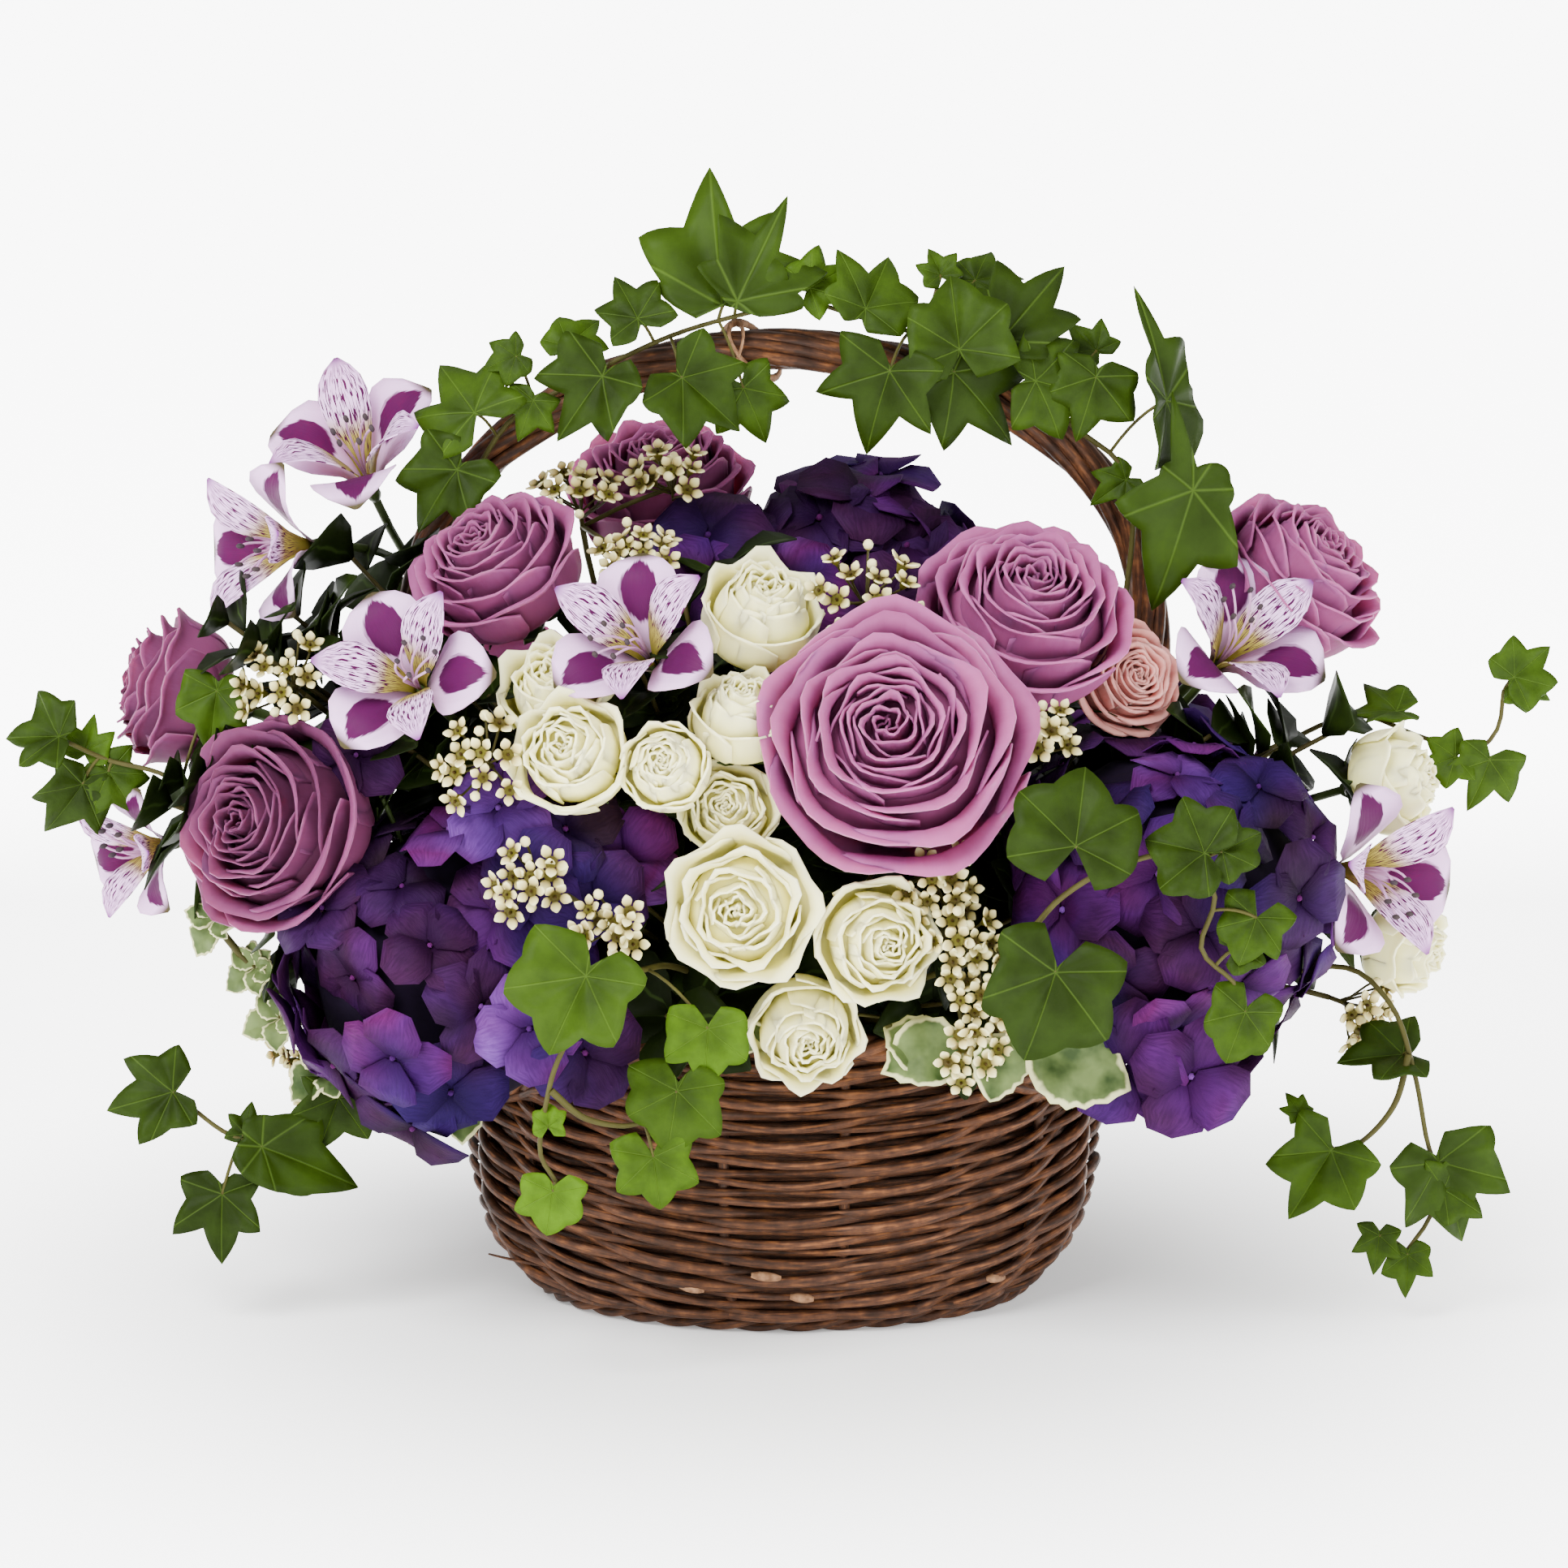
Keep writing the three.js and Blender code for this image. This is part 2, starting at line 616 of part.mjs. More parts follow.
/** An open alstroemeria flower on its stalk: six petals, every second one an inner one. */
function alstroemeriaFlower(flower, curve, steps, margin) {
  const at = polarPlace(flower.centre, flower.axis, flower.spin);
  const reach = flower.size / 2;
  const ringOf = ([radius, height], side) => {
    const ring = [];
    for (let i = 0; i < 2 * PETALS; i++) {
      ring.push(at(reach * radius + side * margin, (Math.PI * i) / PETALS,
        reach * height - side * margin));
    }
    return ring;
  };
  const edge = bladeEdge(margin, (rise) => PETAL_EDGE.map(([radius, height, degrees]) =>
    at(reach * radius + margin, radians(degrees), reach * height + rise)));
  const throat = THROAT_RINGS.map((row) => ringOf(row, 1));
  const rings = [...throat, ...edge, ringOf(INNER_THROAT_RING, -1)];
  const stalk = stemRings(curve, flower.stalk, SPRAY_STEM_SIDES, steps, margin);
  const shift = nearestCorner(rings[0], stalk[stalk.length - 1][0]);
  const turned = rings.map((ring) => {
    const start = (shift * ring.length) / rings[0].length;
    return ring.map((_, i) => ring[(start + i) % ring.length]);
  });
  const floor = at(0, 0, reach * THROAT_FLOOR + margin);
  return skin([...stalk, ...turned, [floor]]);
}

/** A stem of alstroemeria with its one or two flowers. */
function alstroemeria(stem, margin) {
  const [first, ...others] = stem.blooms;
  const curve = stemCurve(along(first, THROAT_ROOT, 0), first.axis, stem.sway);
  const joints = curve.getSpacedPoints(SPRAY_STEM_STEPS);
  const main = { ...first, stalk: SPRAY_STEM_RADIUS };
  const solids = [alstroemeriaFlower(main, curve, SPRAY_STEM_STEPS, margin)];
  const fork = joints[SECOND_FLOWER_JOINT];
  const leaving = fork.clone().sub(joints[SECOND_FLOWER_JOINT - 1]).normalize();
  others.forEach((bloom) => {
    const branch = branchCurve(fork, leaving, along(bloom, THROAT_ROOT, 0), bloom.axis);
    const flower = { ...bloom, stalk: TWIG_RADIUS };
    solids.push(alstroemeriaFlower(flower, branch, SECOND_STALK_STEPS, margin));
  });
  return union(solids);
}

// ---- waxflower -----------------------------------------------------------------------

const WAX_LOBES = 5;
const WAX_SIZE = 11.5;
// The notch between lobes, the neck's radius and depth, and the rise of the middle, as
// shares of the flower's radius.
const WAX_NOTCH = 0.5;
const WAX_NECK = 0.22;
const WAX_NECK_DEPTH = 0.8;
const WAX_MIDDLE_RISE = 0.2;
const WAX_FOOT_STEP = 3;                // height of twig that a flower's foot takes up
const WAX_DISC_START = 0.4;             // how far out the first flower of a cluster stands
const WAX_LIFT = 5;                     // height of the flowers over the twig's end
const WAX_LIFT_SCATTER = 2;
const WAX_DOME = 0.2;                   // how much lower the outer flowers stand
const TWIG_STEPS = 6;
const SIDE_TWIG_STEPS = 3;

/** A waxflower: five lobes over a cup that narrows to a three-cornered stalk. */
function waxBloom(foot, centre, spin, margin) {
  const at = polarPlace(centre, centre.clone().sub(foot).normalize(), spin);
  const size = WAX_SIZE / 2;
  const corners = [...Array(2 * WAX_LOBES).keys()];
  const edge = bladeEdge(margin, (height) => corners.map((i) =>
    at((i % 2 ? WAX_NOTCH : 1) * size + margin, (Math.PI * i) / WAX_LOBES, height)));
  const neck = STALK_CORNERS.map((degrees) =>
    at(WAX_NECK * size + margin, radians(degrees), -WAX_NECK_DEPTH * size));
  return skin([[foot], neck, ...edge, [at(0, 0, WAX_MIDDLE_RISE * size + margin)]]);
}

/** A waxflower spray: small flowers whose narrow feet spring one above another. */
function waxflower(spray, margin) {
  const draw = seededDraw(spray.seed);
  const axis = direction(...spray.facing);
  const solids = [];
  let joint = null;
  for (const cluster of spray.clusters) {
    const middle = vector(cluster.at);
    const low = middle.clone().addScaledVector(axis, -WAX_FOOT_STEP * cluster.flowers);
    const stem = stemCurve(low, axis, spray.sway).getSpacedPoints(SIDE_TWIG_STEPS);
    const twig = new THREE.CatmullRomCurve3([...(joint ? [joint, low] : stem), middle]);
    const steps = joint ? SIDE_TWIG_STEPS : TWIG_STEPS;
    const joints = twig.getSpacedPoints(steps);
    solids.push(tube(twig, TWIG_RADIUS + margin, TWIG_SIDES, steps));
    joint = joints[joints.length - 2];
    const straight = new THREE.Line3(low, middle);
    const at = polarPlace(middle, axis, spray.seed);
    for (let i = 0; i < cluster.flowers; i++) {
      const radius = cluster.spread * Math.sqrt((i + WAX_DISC_START) / cluster.flowers);
      const level = straight.at(1 - (i + 0.5) / cluster.flowers, new THREE.Vector3());
      const lift = WAX_LIFT + WAX_LIFT_SCATTER * draw() - WAX_DOME * radius;
      const centre = at(radius, GOLDEN_ANGLE * i, lift);
      solids.push(waxBloom(nearestOn(joints, level), centre, draw() * Math.PI, margin));
    }
  }
  return union(solids);
}

// ---- ivy and other leaves ------------------------------------------------------------

// Outline of an ivy leaf about the point where its stalk joins: angle from the tip in
// degrees, distance as a share of the tip's, and how far the edge lies below the middle.
const IVY_OUTLINE = [
  [0, 1.0, 0.16],
  [27, 0.56, 0.03],
  [52, 0.86, 0.15],
  [86, 0.48, 0.03],
  [120, 0.64, 0.12],
  [180, 0.10, 0.0],
  [-120, 0.64, 0.12],
  [-86, 0.48, 0.03],
  [-52, 0.86, 0.15],
  [-27, 0.56, 0.03],
];
const STALK_CORNERS = [40, 180, 305];
const OVAL_OUTLINE = [
  [0, 1.0, 0.14],
  [16, 0.74, 0.0],
  [38, 0.46, -0.04],
  [90, 0.2, -0.02],
  [180, 0.12, 0.0],
  [-90, 0.2, -0.02],
  [-38, 0.46, -0.04],
  [-16, 0.74, 0.0],
];

/** A leaf: a blade that thins out to its edge, on a stalk that springs from a foot. */
function leafOnStalk(leaf, outline, foot, margin) {
  const normal = leaf.facing;
  const raw = direction(90, leaf.turn);
  const tipward = raw.clone().addScaledVector(normal, -raw.dot(normal)).normalize();
  const across = normal.clone().cross(tipward);
  const edge = bladeEdge(margin, (height) => outline.map(([degrees, share, drop]) => {
    const reach = leaf.size * share + margin;
    return leaf.joint.clone()
      .addScaledVector(tipward, reach * Math.cos(radians(degrees)))
      .addScaledVector(across, reach * Math.sin(radians(degrees)))
      .addScaledVector(normal, height - leaf.size * drop);
  }));
  const neck = leaf.joint.clone().addScaledVector(normal, -STALK_NECK - margin);
  const stalkAxis = neck.clone().sub(foot).normalize().add(normal).normalize();
  const side = stalkAxis.clone().cross(tipward).normalize();
  const front = side.clone().cross(stalkAxis);
  const stalk = STALK_CORNERS.map((degrees) => neck.clone()
    .addScaledVector(front, (STALK_RADIUS + margin) * Math.cos(radians(degrees)))
    .addScaledVector(side, (STALK_RADIUS + margin) * Math.sin(radians(degrees))));
  const top = leaf.joint.clone().addScaledVector(normal, LEAF_THICKNESS / 2 + margin);
  return skin([[foot], stalk, ...edge, [top]]);
}

/** The point nearest a given one on the straight runs between joints, short of the tip. */
function nearestOn(joints, target) {
  const nearest = new THREE.Vector3(Infinity, 0, 0);
  for (let i = 1; i < joints.length; i++) {
    const run = new THREE.Line3(joints[i - 1], joints[i]);
    const share = Math.min(run.closestPointToPointParameter(target, true), TIP_SHARE);
    const point = run.at(share, new THREE.Vector3());
    if (point.distanceTo(target) < nearest.distanceTo(target)) nearest.copy(point);
  }
  return nearest;
}

/** A leafy stem: runs of stem, and leaves whose stalks spring from the nearest run. */
function leafyStem(plant, margin) {
  const runs = [];
  for (const row of plant.runs) {
    const points = row.map(vector);
    if (runs.length > 0) points[0] = nearestOn(runs[0].joints, points[0]);
    const curve = new THREE.CatmullRomCurve3(points);
    const steps = Math.max(2, Math.round(curve.getLength() / VINE_STEP));
    runs.push({ curve, steps, joints: curve.getSpacedPoints(steps) });
  }
  const solids = runs.map(({ curve, steps }) => tube(curve, VINE_RADIUS + margin, VINE_SIDES, steps));
  for (const leaf of plant.leaves) {
    const feet = runs.map(({ joints }) => nearestOn(joints, leaf.joint));
    feet.sort((a, b) => a.distanceTo(leaf.joint) - b.distanceTo(leaf.joint));
    solids.push(leafOnStalk(leaf, plant.outline, feet[0], margin));
  }
  return union(solids);
}

// ---- layout --------------------------------------------------------------------------

// Blooms: middle, azimuth and elevation that the face looks, width across.
const SPIN_STEP = 1.7;
const SPIN_SHIFT = 0.05;
const bloomAt = ([x, y, z, azimuth, elevation, size], i = 0) => ({
  centre: new THREE.Vector3(x, y, z),
  axis: direction(azimuth, elevation),
  size,
  spin: SPIN_STEP * i + SPIN_SHIFT * x,
});

const ROSES = {
  front: [37, -108, 214, -3, 25, 86],
  upper_right: [81, -62, 250, 12, 50, 70],
  far_right: [181, 0, 255, 60, 45, 64],
  lower_left: [-172, -75, 179, -35, 15, 76],
  upper_left: [-98, -45, 265, -40, 50, 58],
  far_left: [-215, -5, 215, -85, 15, 54],
  top: [-44, 45, 281, -10, 70, 64],
  back_right: [70, 112, 195, 150, 25, 70],
  back_left: [-105, 100, 190, -140, 25, 68],
};

const SPRAY_ROSES = {
  low: [[-14, -122, 161, -5, 10, 49], [30, -115, 149, 12, 5, 40], [7, -108, 116, 5, -10, 36]],
  left: [[-70, -105, 209, -15, 25, 35], [-39, -112, 206, -8, 20, 27], [-18, -98, 189, 0, 25, 28]],
  middle: [[-14, -95, 223, 0, 35, 30], [-8, -70, 254, 0, 50, 37], [-76, -80, 227, -15, 45, 35]],
  right: [[212, -25, 187, 65, 15, 36], [218, -20, 127, 55, -10, 32]],
  back: [[-18, 126, 160, 178, 10, 44], [20, 112, 205, 170, 35, 36], [10, 108, 122, 185, -10, 34]],
};

const HYDRANGEAS = {
  left: { at: [-112, -65, 130], radius: 60, floret: 42, florets: 22, seed: 3 },
  right: { at: [128, -65, 153], radius: 62, floret: 42, florets: 22, seed: 5 },
  top: { at: [27, 45, 250], radius: 46, floret: 36, florets: 20, seed: 8 },
  back_left: { at: [-60, 92, 118], radius: 50, floret: 40, florets: 18, seed: 11 },
  back_right: { at: [128, 78, 150], radius: 56, floret: 42, florets: 18, seed: 14 },
};

const ALSTROEMERIA = {
  upper_left: [[-151, -5, 298, -30, 60, 56], [-176, -25, 267, -60, 35, 50]],
  left: [[-126, -85, 239, -15, 25, 60]],
  middle: [[-53, -90, 252, -25, 35, 62]],
  upper_right: [[156, -35, 237, 25, 35, 62]],
  right: [[204, -50, 159, 40, 5, 62]],
  far_left: [[-229, -15, 159, -75, -10, 43]],
};

const WAXFLOWERS = {
  left: { clusters: [{ at: [-169, -60, 228], spread: 15, flowers: 5 }], facing: [-25, 30] },
  middle_left: { clusters: [{ at: [-100, -106, 208], spread: 14, flowers: 5 }], facing: [-15, 20] },
  top: { clusters: [{ at: [-72, 2, 284], spread: 13, flowers: 5 },
    { at: [-40, 6, 290], spread: 11, flowers: 3 }], facing: [-10, 60] },
  upper: { clusters: [{ at: [28, -75, 261], spread: 17, flowers: 6 }], facing: [5, 45] },
  front_left: { clusters: [{ at: [-84, -121, 171], spread: 11, flowers: 4 },
    { at: [-57, -126, 156], spread: 10, flowers: 3 }], facing: [-15, 10] },
  front_right: { clusters: [{ at: [54, -112, 164], spread: 11, flowers: 4 },
    { at: [60, -114, 138], spread: 10, flowers: 3 },
    { at: [66, -110, 113], spread: 9, flowers: 3 }], facing: [12, 5] },
  low_left: { clusters: [{ at: [-168, -22, 88], spread: 17, flowers: 6 }], facing: [-50, -5] },
  low_right: { clusters: [{ at: [203, -25, 105], spread: 11, flowers: 4 }], facing: [50, -10] },
};

// Ivy leaves: joint, turn of the tip seen from the front, tip's length, and the
// direction that the blade faces.
const LEAF_ELEVATION = 20;
const leafAt = ([x, y, z, turn, size, azimuth = 0, elevation = LEAF_ELEVATION]) => ({
  joint: new THREE.Vector3(x, y, z),
  turn,
  size,
  facing: direction(azimuth, elevation),
});

const IVY = {
  handle_left: {
    runs: [[[-18, -4, 108], [-70, -10, 150], [-108, -11, 212], [-117, -11, 262], [-99, -12, 305],
      [-77, -12, 321], [-58, -12, 331], [-38, -12, 340], [-18, -11, 346], [0, -10, 350]]],
    leaves: [
      [-106, -22, 314, 125, 26, -15, 30], [-112, -26, 295, 235, 25, -10, 10],
      [-86, -20, 318, 250, 14], [-74, -16, 336, 60, 17, 0, 35],
      [-50, -19, 346, 115, 20, -10, 35], [-62, -26, 327, 235, 26, -15, 15],
      [-35, -22, 326, -40, 26, 15, 15], [-14, -16, 322, -65, 20, 10, 5],
      [-27, -16, 349, 92, 48, -5, 10], [-7, -12, 355, 70, 35, 10, 15],
    ],
  },
  handle_right: {
    runs: [[[20, -4, 108], [74, -10, 150], [108, -11, 205], [120, -12, 262], [118, -12, 292],
      [103, -12, 306], [85, -12, 319], [65, -12, 331], [46, -12, 340], [26, -11, 346],
      [10, -10, 351]]],
    leaves: [
      [9, -14, 356, 35, 17, 5, 20], [28, -14, 349, 60, 24, 20, 25], [49, -21, 346, 66, 27, 0, 25],
      [36, -29, 329, 252, 28, -12, 10], [58, -23, 328, -45, 32, 15, 12],
      [74, -18, 338, 52, 38, 5, 20], [86, -23, 325, -8, 25, 15, 15],
      [66, -4, 358, 20, 17, 0, 40], [108, -6, 334, 130, 14],
      [107, -18, 326, 252, 22, 10, 15], [118, -14, 290, 215, 14],
      [140, -28, 288, 247, 39, 10, 8], [131, -20, 318, 97, 40, 55, 5],
    ],
  },
  front_left: {
    runs: [[[-14, -20, 108], [-34, -82, 132], [-45, -118, 140], [-60, -142, 138], [-73, -142, 116],
      [-78, -138, 98], [-80, -135, 82], [-75, -134, 72]],
    [[-76, -140, 104], [-66, -135, 94], [-54, -131, 90], [-46, -130, 91]]],
    leaves: [
      [-64, -148, 144, 245, 29, -10, 15], [-33, -128, 124, 262, 30, 5, 12],
      [-46, -132, 90, 283, 26, 5, 10], [-75, -136, 71, 262, 17, 0, 10],
    ],
  },
  front_right: {
    runs: [[[14, -18, 106], [48, -76, 128], [76, -122, 150], [90, -138, 168], [106, -140, 178],
      [128, -137, 182], [140, -134, 168], [136, -133, 150], [147, -128, 138], [150, -126, 130]]],
    leaves: [
      [94, -144, 186, 80, 27, 5, 15], [88, -142, 144, 252, 31, 5, 10],
      [136, -140, 183, 165, 20], [142, -138, 183, 30, 15], [154, -132, 160, 250, 17],
      [151, -130, 128, 250, 18],
    ],
  },
  right_up: {
    runs: [[[21, 4, 104], [100, 15, 140], [160, 14, 182], [198, 6, 204], [222, -4, 199],
      [240, -8, 194], [249, -10, 202], [251, -10, 216]]],
    leaves: [
      [214, -8, 208, 175, 20, 0, 70], [254, -13, 221, 40, 18, 10, 20],
      [246, -14, 192, 250, 18, 10, 10], [234, -14, 193, 200, 15],
    ],
  },
  right_hanging: {
    runs: [[[21, -5, 94], [86, -12, 100], [140, -24, 104], [188, -40, 124], [208, -50, 114],
      [217, -53, 90], [222, -52, 66], [226, -51, 52], [224, -52, 38], [216, -53, 26]],
    [[215, -54, 96], [210, -57, 79], [199, -60, 67], [189, -60, 64]]],
    leaves: [
      [188, -62, 64, 240, 27, -5, 10], [226, -54, 58, 290, 30, 10, 5],
      [228, -54, 48, 20, 18, 15, 10], [206, -55, 32, 262, 13], [216, -55, 25, 268, 14],
    ],
  },
  left_up: {
    runs: [[[-21, 5, 102], [-70, 14, 120], [-114, 15, 142], [-156, -6, 164], [-198, -30, 181],
      [-216, -29, 190], [-234, -26, 194], [-248, -29, 201]]],
    leaves: [
      [-252, -31, 203, 165, 21, -5, 15], [-243, -28, 184, 235, 19, -5, 15],
      [-242, -24, 197, 80, 13], [-234, -26, 190, 300, 17, 5, 5],
    ],
  },
  left_low: {
    runs: [[[-21, -3, 96], [-84, -10, 100], [-126, -24, 96], [-150, -44, 82], [-164, -53, 69],
      [-178, -54, 65], [-192, -54, 68], [-208, -50, 79]]],
    leaves: [
      [-211, -51, 80, 200, 21, -5, 15], [-185, -56, 62, 240, 34, -5, 10],
      [-170, -57, 66, -40, 28, 10, 10], [-156, -50, 76, 240, 18],
    ],
  },
};

const GREENS = {
  front: {
    runs: [[[6, -21, 100], [40, -74, 112], [68, -104, 112], [86, -116, 108]]],
    leaves: [[86, -118, 108, -10, 30, 5, 30], [48, -96, 112, -70, 20, 0, 15],
      [30, -98, 112, 240, 20, 0, 15]],
  },
  left: {
    runs: [[[-20, -12, 92], [-80, -30, 90], [-124, -40, 84], [-140, -42, 70]]],
    leaves: [[-140, -44, 70, 250, 24, -20, 20], [-128, -50, 80, 200, 26, -20, 30],
      [-110, -52, 82, 270, 22, -10, 20]],
  },
  back: {
    runs: [[[2, 22, 100], [20, 80, 112], [60, 112, 118], [84, 118, 108]]],
    leaves: [[84, 120, 108, -10, 28, 175, 30], [60, 116, 116, 215, 24, 180, 20],
      [36, 104, 112, -80, 24, 180, 20]],
  },
};

// How far the middle of a stem is moved along Y to pass the handle's leg.
const SWAYS = {
  rose_far_left: -22,
  spray_roses_right: -20,
  alstroemeria_upper_left: 16,
  alstroemeria_upper_right: -22,
  alstroemeria_right: -38,
  alstroemeria_far_left: -18,
  waxflower_low_left: -28,
  waxflower_low_right: -16,
};

// ---- assembly ------------------------------------------------------------------------

const arrangement = new THREE.Group();
const guards = [];

const boxesMeet = (a, b) => [0, 1, 2].every((i) => a.min[i] < b.max[i] && b.min[i] < a.max[i]);

/** Cuts a solid clear of the pieces already placed and keeps its one main body. */
function clearOfOthers(solid) {
  const box = solid.boundingBox();
  const near = guards.filter((guard) => boxesMeet(box, guard.boundingBox()));
  const cut = near.length ? solid.subtract(union(near)) : solid;
  const bodies = cut.decompose();
  return bodies.reduce((most, body) => (body.volume() > most.volume() ? body : most));
}

/** Adds a named piece to the arrangement. build(margin) gives its solid, grown by a margin. */
function addPiece(name, build, { color, roughness }) {
  const solid = clearOfOthers(build(0)).simplify(SIMPLIFY_TOLERANCE);
  guards.push(build(CLEARANCE));
  const { numProp, vertProperties, triVerts } = solid.getMesh();
  const geometry = new THREE.BufferGeometry();
  geometry.setAttribute('position', new THREE.BufferAttribute(vertProperties, numProp));
  geometry.setIndex(new THREE.BufferAttribute(triVerts, 1));
  const look = { color, roughness, metalness: 0, flatShading: true };
  const mesh = new THREE.Mesh(geometry, new THREE.MeshStandardMaterial(look));
  mesh.name = name;
  arrangement.add(mesh);
}

addPiece('handle', handle, WILLOW);
addPiece('basket_base', basketBase, WILLOW);
addPiece('basket_body', basketBody, WILLOW);
addPiece('basket_rim', basketRim, WILLOW);
addPiece('liner', liner, LINER_GREEN);

for (const [place, { runs, leaves }] of Object.entries(IVY)) {
  const vine = { runs, leaves: leaves.map(leafAt), outline: IVY_OUTLINE };
  addPiece(`ivy_${place}`, (margin) => leafyStem(vine, margin), IVY_GREEN);
}

Object.entries(ROSES).forEach(([place, row], i) => {
  const bloom = { ...bloomAt(row, i), sway: SWAYS[`rose_${place}`], stem: ROSE_STEM_RADIUS };
  addPiece(`rose_${place}`, (margin) => roseHead(bloom, margin), LAVENDER);
  addPiece(`rose_stem_${place}`, (margin) => roseStem(bloom, margin), STEM_GREEN);
});

for (const [place, rows] of Object.entries(SPRAY_ROSES)) {
  const name = `spray_roses_${place}`;
  const spray = { blooms: rows.map(bloomAt), sway: SWAYS[name] };
  addPiece(name, (margin) => sprayOfRoses(spray, margin), CREAM_WHITE);
}

for (const [place, rows] of Object.entries(ALSTROEMERIA)) {
  const name = `alstroemeria_${place}`;
  const stem = { blooms: rows.map(bloomAt), sway: SWAYS[name] };
  addPiece(name, (margin) => alstroemeria(stem, margin), STREAKED_WHITE);
}

Object.entries(WAXFLOWERS).forEach(([place, row], i) => {
  const name = `waxflower_${place}`;
  const spray = { ...row, seed: i + 1, sway: SWAYS[name] };
  addPiece(name, (margin) => waxflower(spray, margin), WAX_CREAM);
});

for (const [place, { at, ...shape }] of Object.entries(HYDRANGEAS)) {
  const head = { centre: vector(at), ...shape };
  addPiece(`hydrangea_${place}`, (margin) => hydrangea(head, margin), VIOLET);
}

for (const [place, { runs, leaves }] of Object.entries(GREENS)) {
  const sprig = { runs, leaves: leaves.map(leafAt), outline: OVAL_OUTLINE };
  addPiece(`greens_${place}`, (margin) => leafyStem(sprig, margin), CREAM_EDGED_GREEN);
}

addPiece('foam', foam, FOAM_GREEN);

export default arrangement;
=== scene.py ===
"""Flower basket arrangement: an oval willow basket of roses, spray roses, hydrangea,
alstroemeria, waxflower and trailing ivy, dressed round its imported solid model.

Lengths in the code are millimetres in the row frame, and turn into metres when a mesh is
made; the settings and the stage are in metres. X runs along the basket, Y away from the
viewer, Z up. A direction is an azimuth and an elevation in degrees: azimuth 0 faces the
viewer, 90 faces +X, 180 faces away.
"""

import bpy
import numpy as np
from bpy.props import FloatProperty, FloatVectorProperty, IntProperty, PointerProperty
from bpy.types import Operator, Panel, PropertyGroup
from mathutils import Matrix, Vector


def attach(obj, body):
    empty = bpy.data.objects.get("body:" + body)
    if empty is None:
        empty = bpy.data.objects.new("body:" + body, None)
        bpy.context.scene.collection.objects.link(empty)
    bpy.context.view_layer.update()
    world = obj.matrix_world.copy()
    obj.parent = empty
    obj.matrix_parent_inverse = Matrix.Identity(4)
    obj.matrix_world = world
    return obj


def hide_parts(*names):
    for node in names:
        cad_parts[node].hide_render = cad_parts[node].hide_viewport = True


bl_info = {
    "name": "Flower Basket Arrangement",
    "version": (1, 0, 0),
    "blender": (4, 5, 0),
    "location": "View3D > Sidebar > Flower Basket",
    "description": "Weaves the willow basket and fills it with roses, hydrangea and ivy",
    "category": "Object",
}

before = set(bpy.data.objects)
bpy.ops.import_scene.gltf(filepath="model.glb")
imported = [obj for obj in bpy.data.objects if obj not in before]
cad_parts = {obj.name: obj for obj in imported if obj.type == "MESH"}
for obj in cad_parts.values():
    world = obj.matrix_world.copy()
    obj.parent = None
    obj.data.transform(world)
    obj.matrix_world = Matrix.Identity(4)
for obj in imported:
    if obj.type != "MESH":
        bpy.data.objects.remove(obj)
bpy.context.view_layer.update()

MM = 0.001
BODY = "root"
GOLDEN_ANGLE = np.pi * (3 - np.sqrt(5))

# ---- places, at or near those of the solid model -------------------------------------------

STEM_HEART = np.array([0.0, 0.0, 95.0])
STEM_ROOT = 22.0
LEAVING_REACH, FORK_REACH, ARRIVING_REACH = 0.45, 0.40, 0.35

# The wall's outside: height and half width of the oval.
WALL_PROFILE = np.array([[0, 84], [8, 93], [20, 102.5], [35, 108], [52, 110], [110, 110.5]])
DEPTH_SHARE = 0.745
WALL_THICKNESS = 6.0
RIM_END_HEIGHT, RIM_MIDDLE_RISE, RIM_RISE_POWER = 66.0, 35.0, 1.6

HANDLE_LEG = [(82.4, 14), (93.4, 60), (99, 88), (112, 135), (124, 190), (128, 235)]
HANDLE_HALF_WIDTH, HANDLE_ARCH_START, HANDLE_ARCH_RISE = 128.0, 240.0, 94.0
HANDLE_ARCH_POINTS = 9

# Blooms: middle, azimuth and elevation that the face looks, width across.
ROSES = {
    "front": (37, -108, 214, -3, 25, 86),
    "upper_right": (81, -62, 250, 12, 50, 70),
    "far_right": (181, 0, 255, 60, 45, 64),
    "lower_left": (-172, -75, 180, -35, 15, 71),
    "upper_left": (-98, -45, 265, -40, 50, 58),
    "far_left": (-215, -5, 215, -85, 15, 54),
    "top": (-44, 45, 281, -10, 70, 64),
    "back_right": (70, 112, 195, 150, 25, 70),
    "back_left": (-105, 100, 190, -140, 25, 68),
}
# A spray rose's row ends with how far it is open.
SPRAY_ROSES = {
    "low": [(-14, -122, 161, -5, 10, 50, 1.0), (30, -115, 149, 12, 5, 44, 0.8),
            (7, -108, 116, 5, -10, 42, 0.6)],
    "left": [(-70, -105, 209, -15, 25, 43, 0.7), (-39, -112, 206, -8, 20, 34, 0.4),
             (-18, -98, 189, 0, 25, 34, 0.8)],
    "middle": [(-14, -95, 221, 0, 55, 39, 0.4), (-8, -70, 252, 15, 50, 46, 0.5),
               (-76, -80, 227, -15, 45, 42, 0.6)],
    "right": [(212, -25, 187, 65, 15, 42, 0.4), (218, -20, 127, 55, -10, 38, 0.5)],
    "back": [(-18, 126, 160, 178, 10, 44, 0.9), (20, 112, 205, 170, 35, 36, 0.7),
             (10, 108, 122, 185, -10, 34, 0.4)],
}
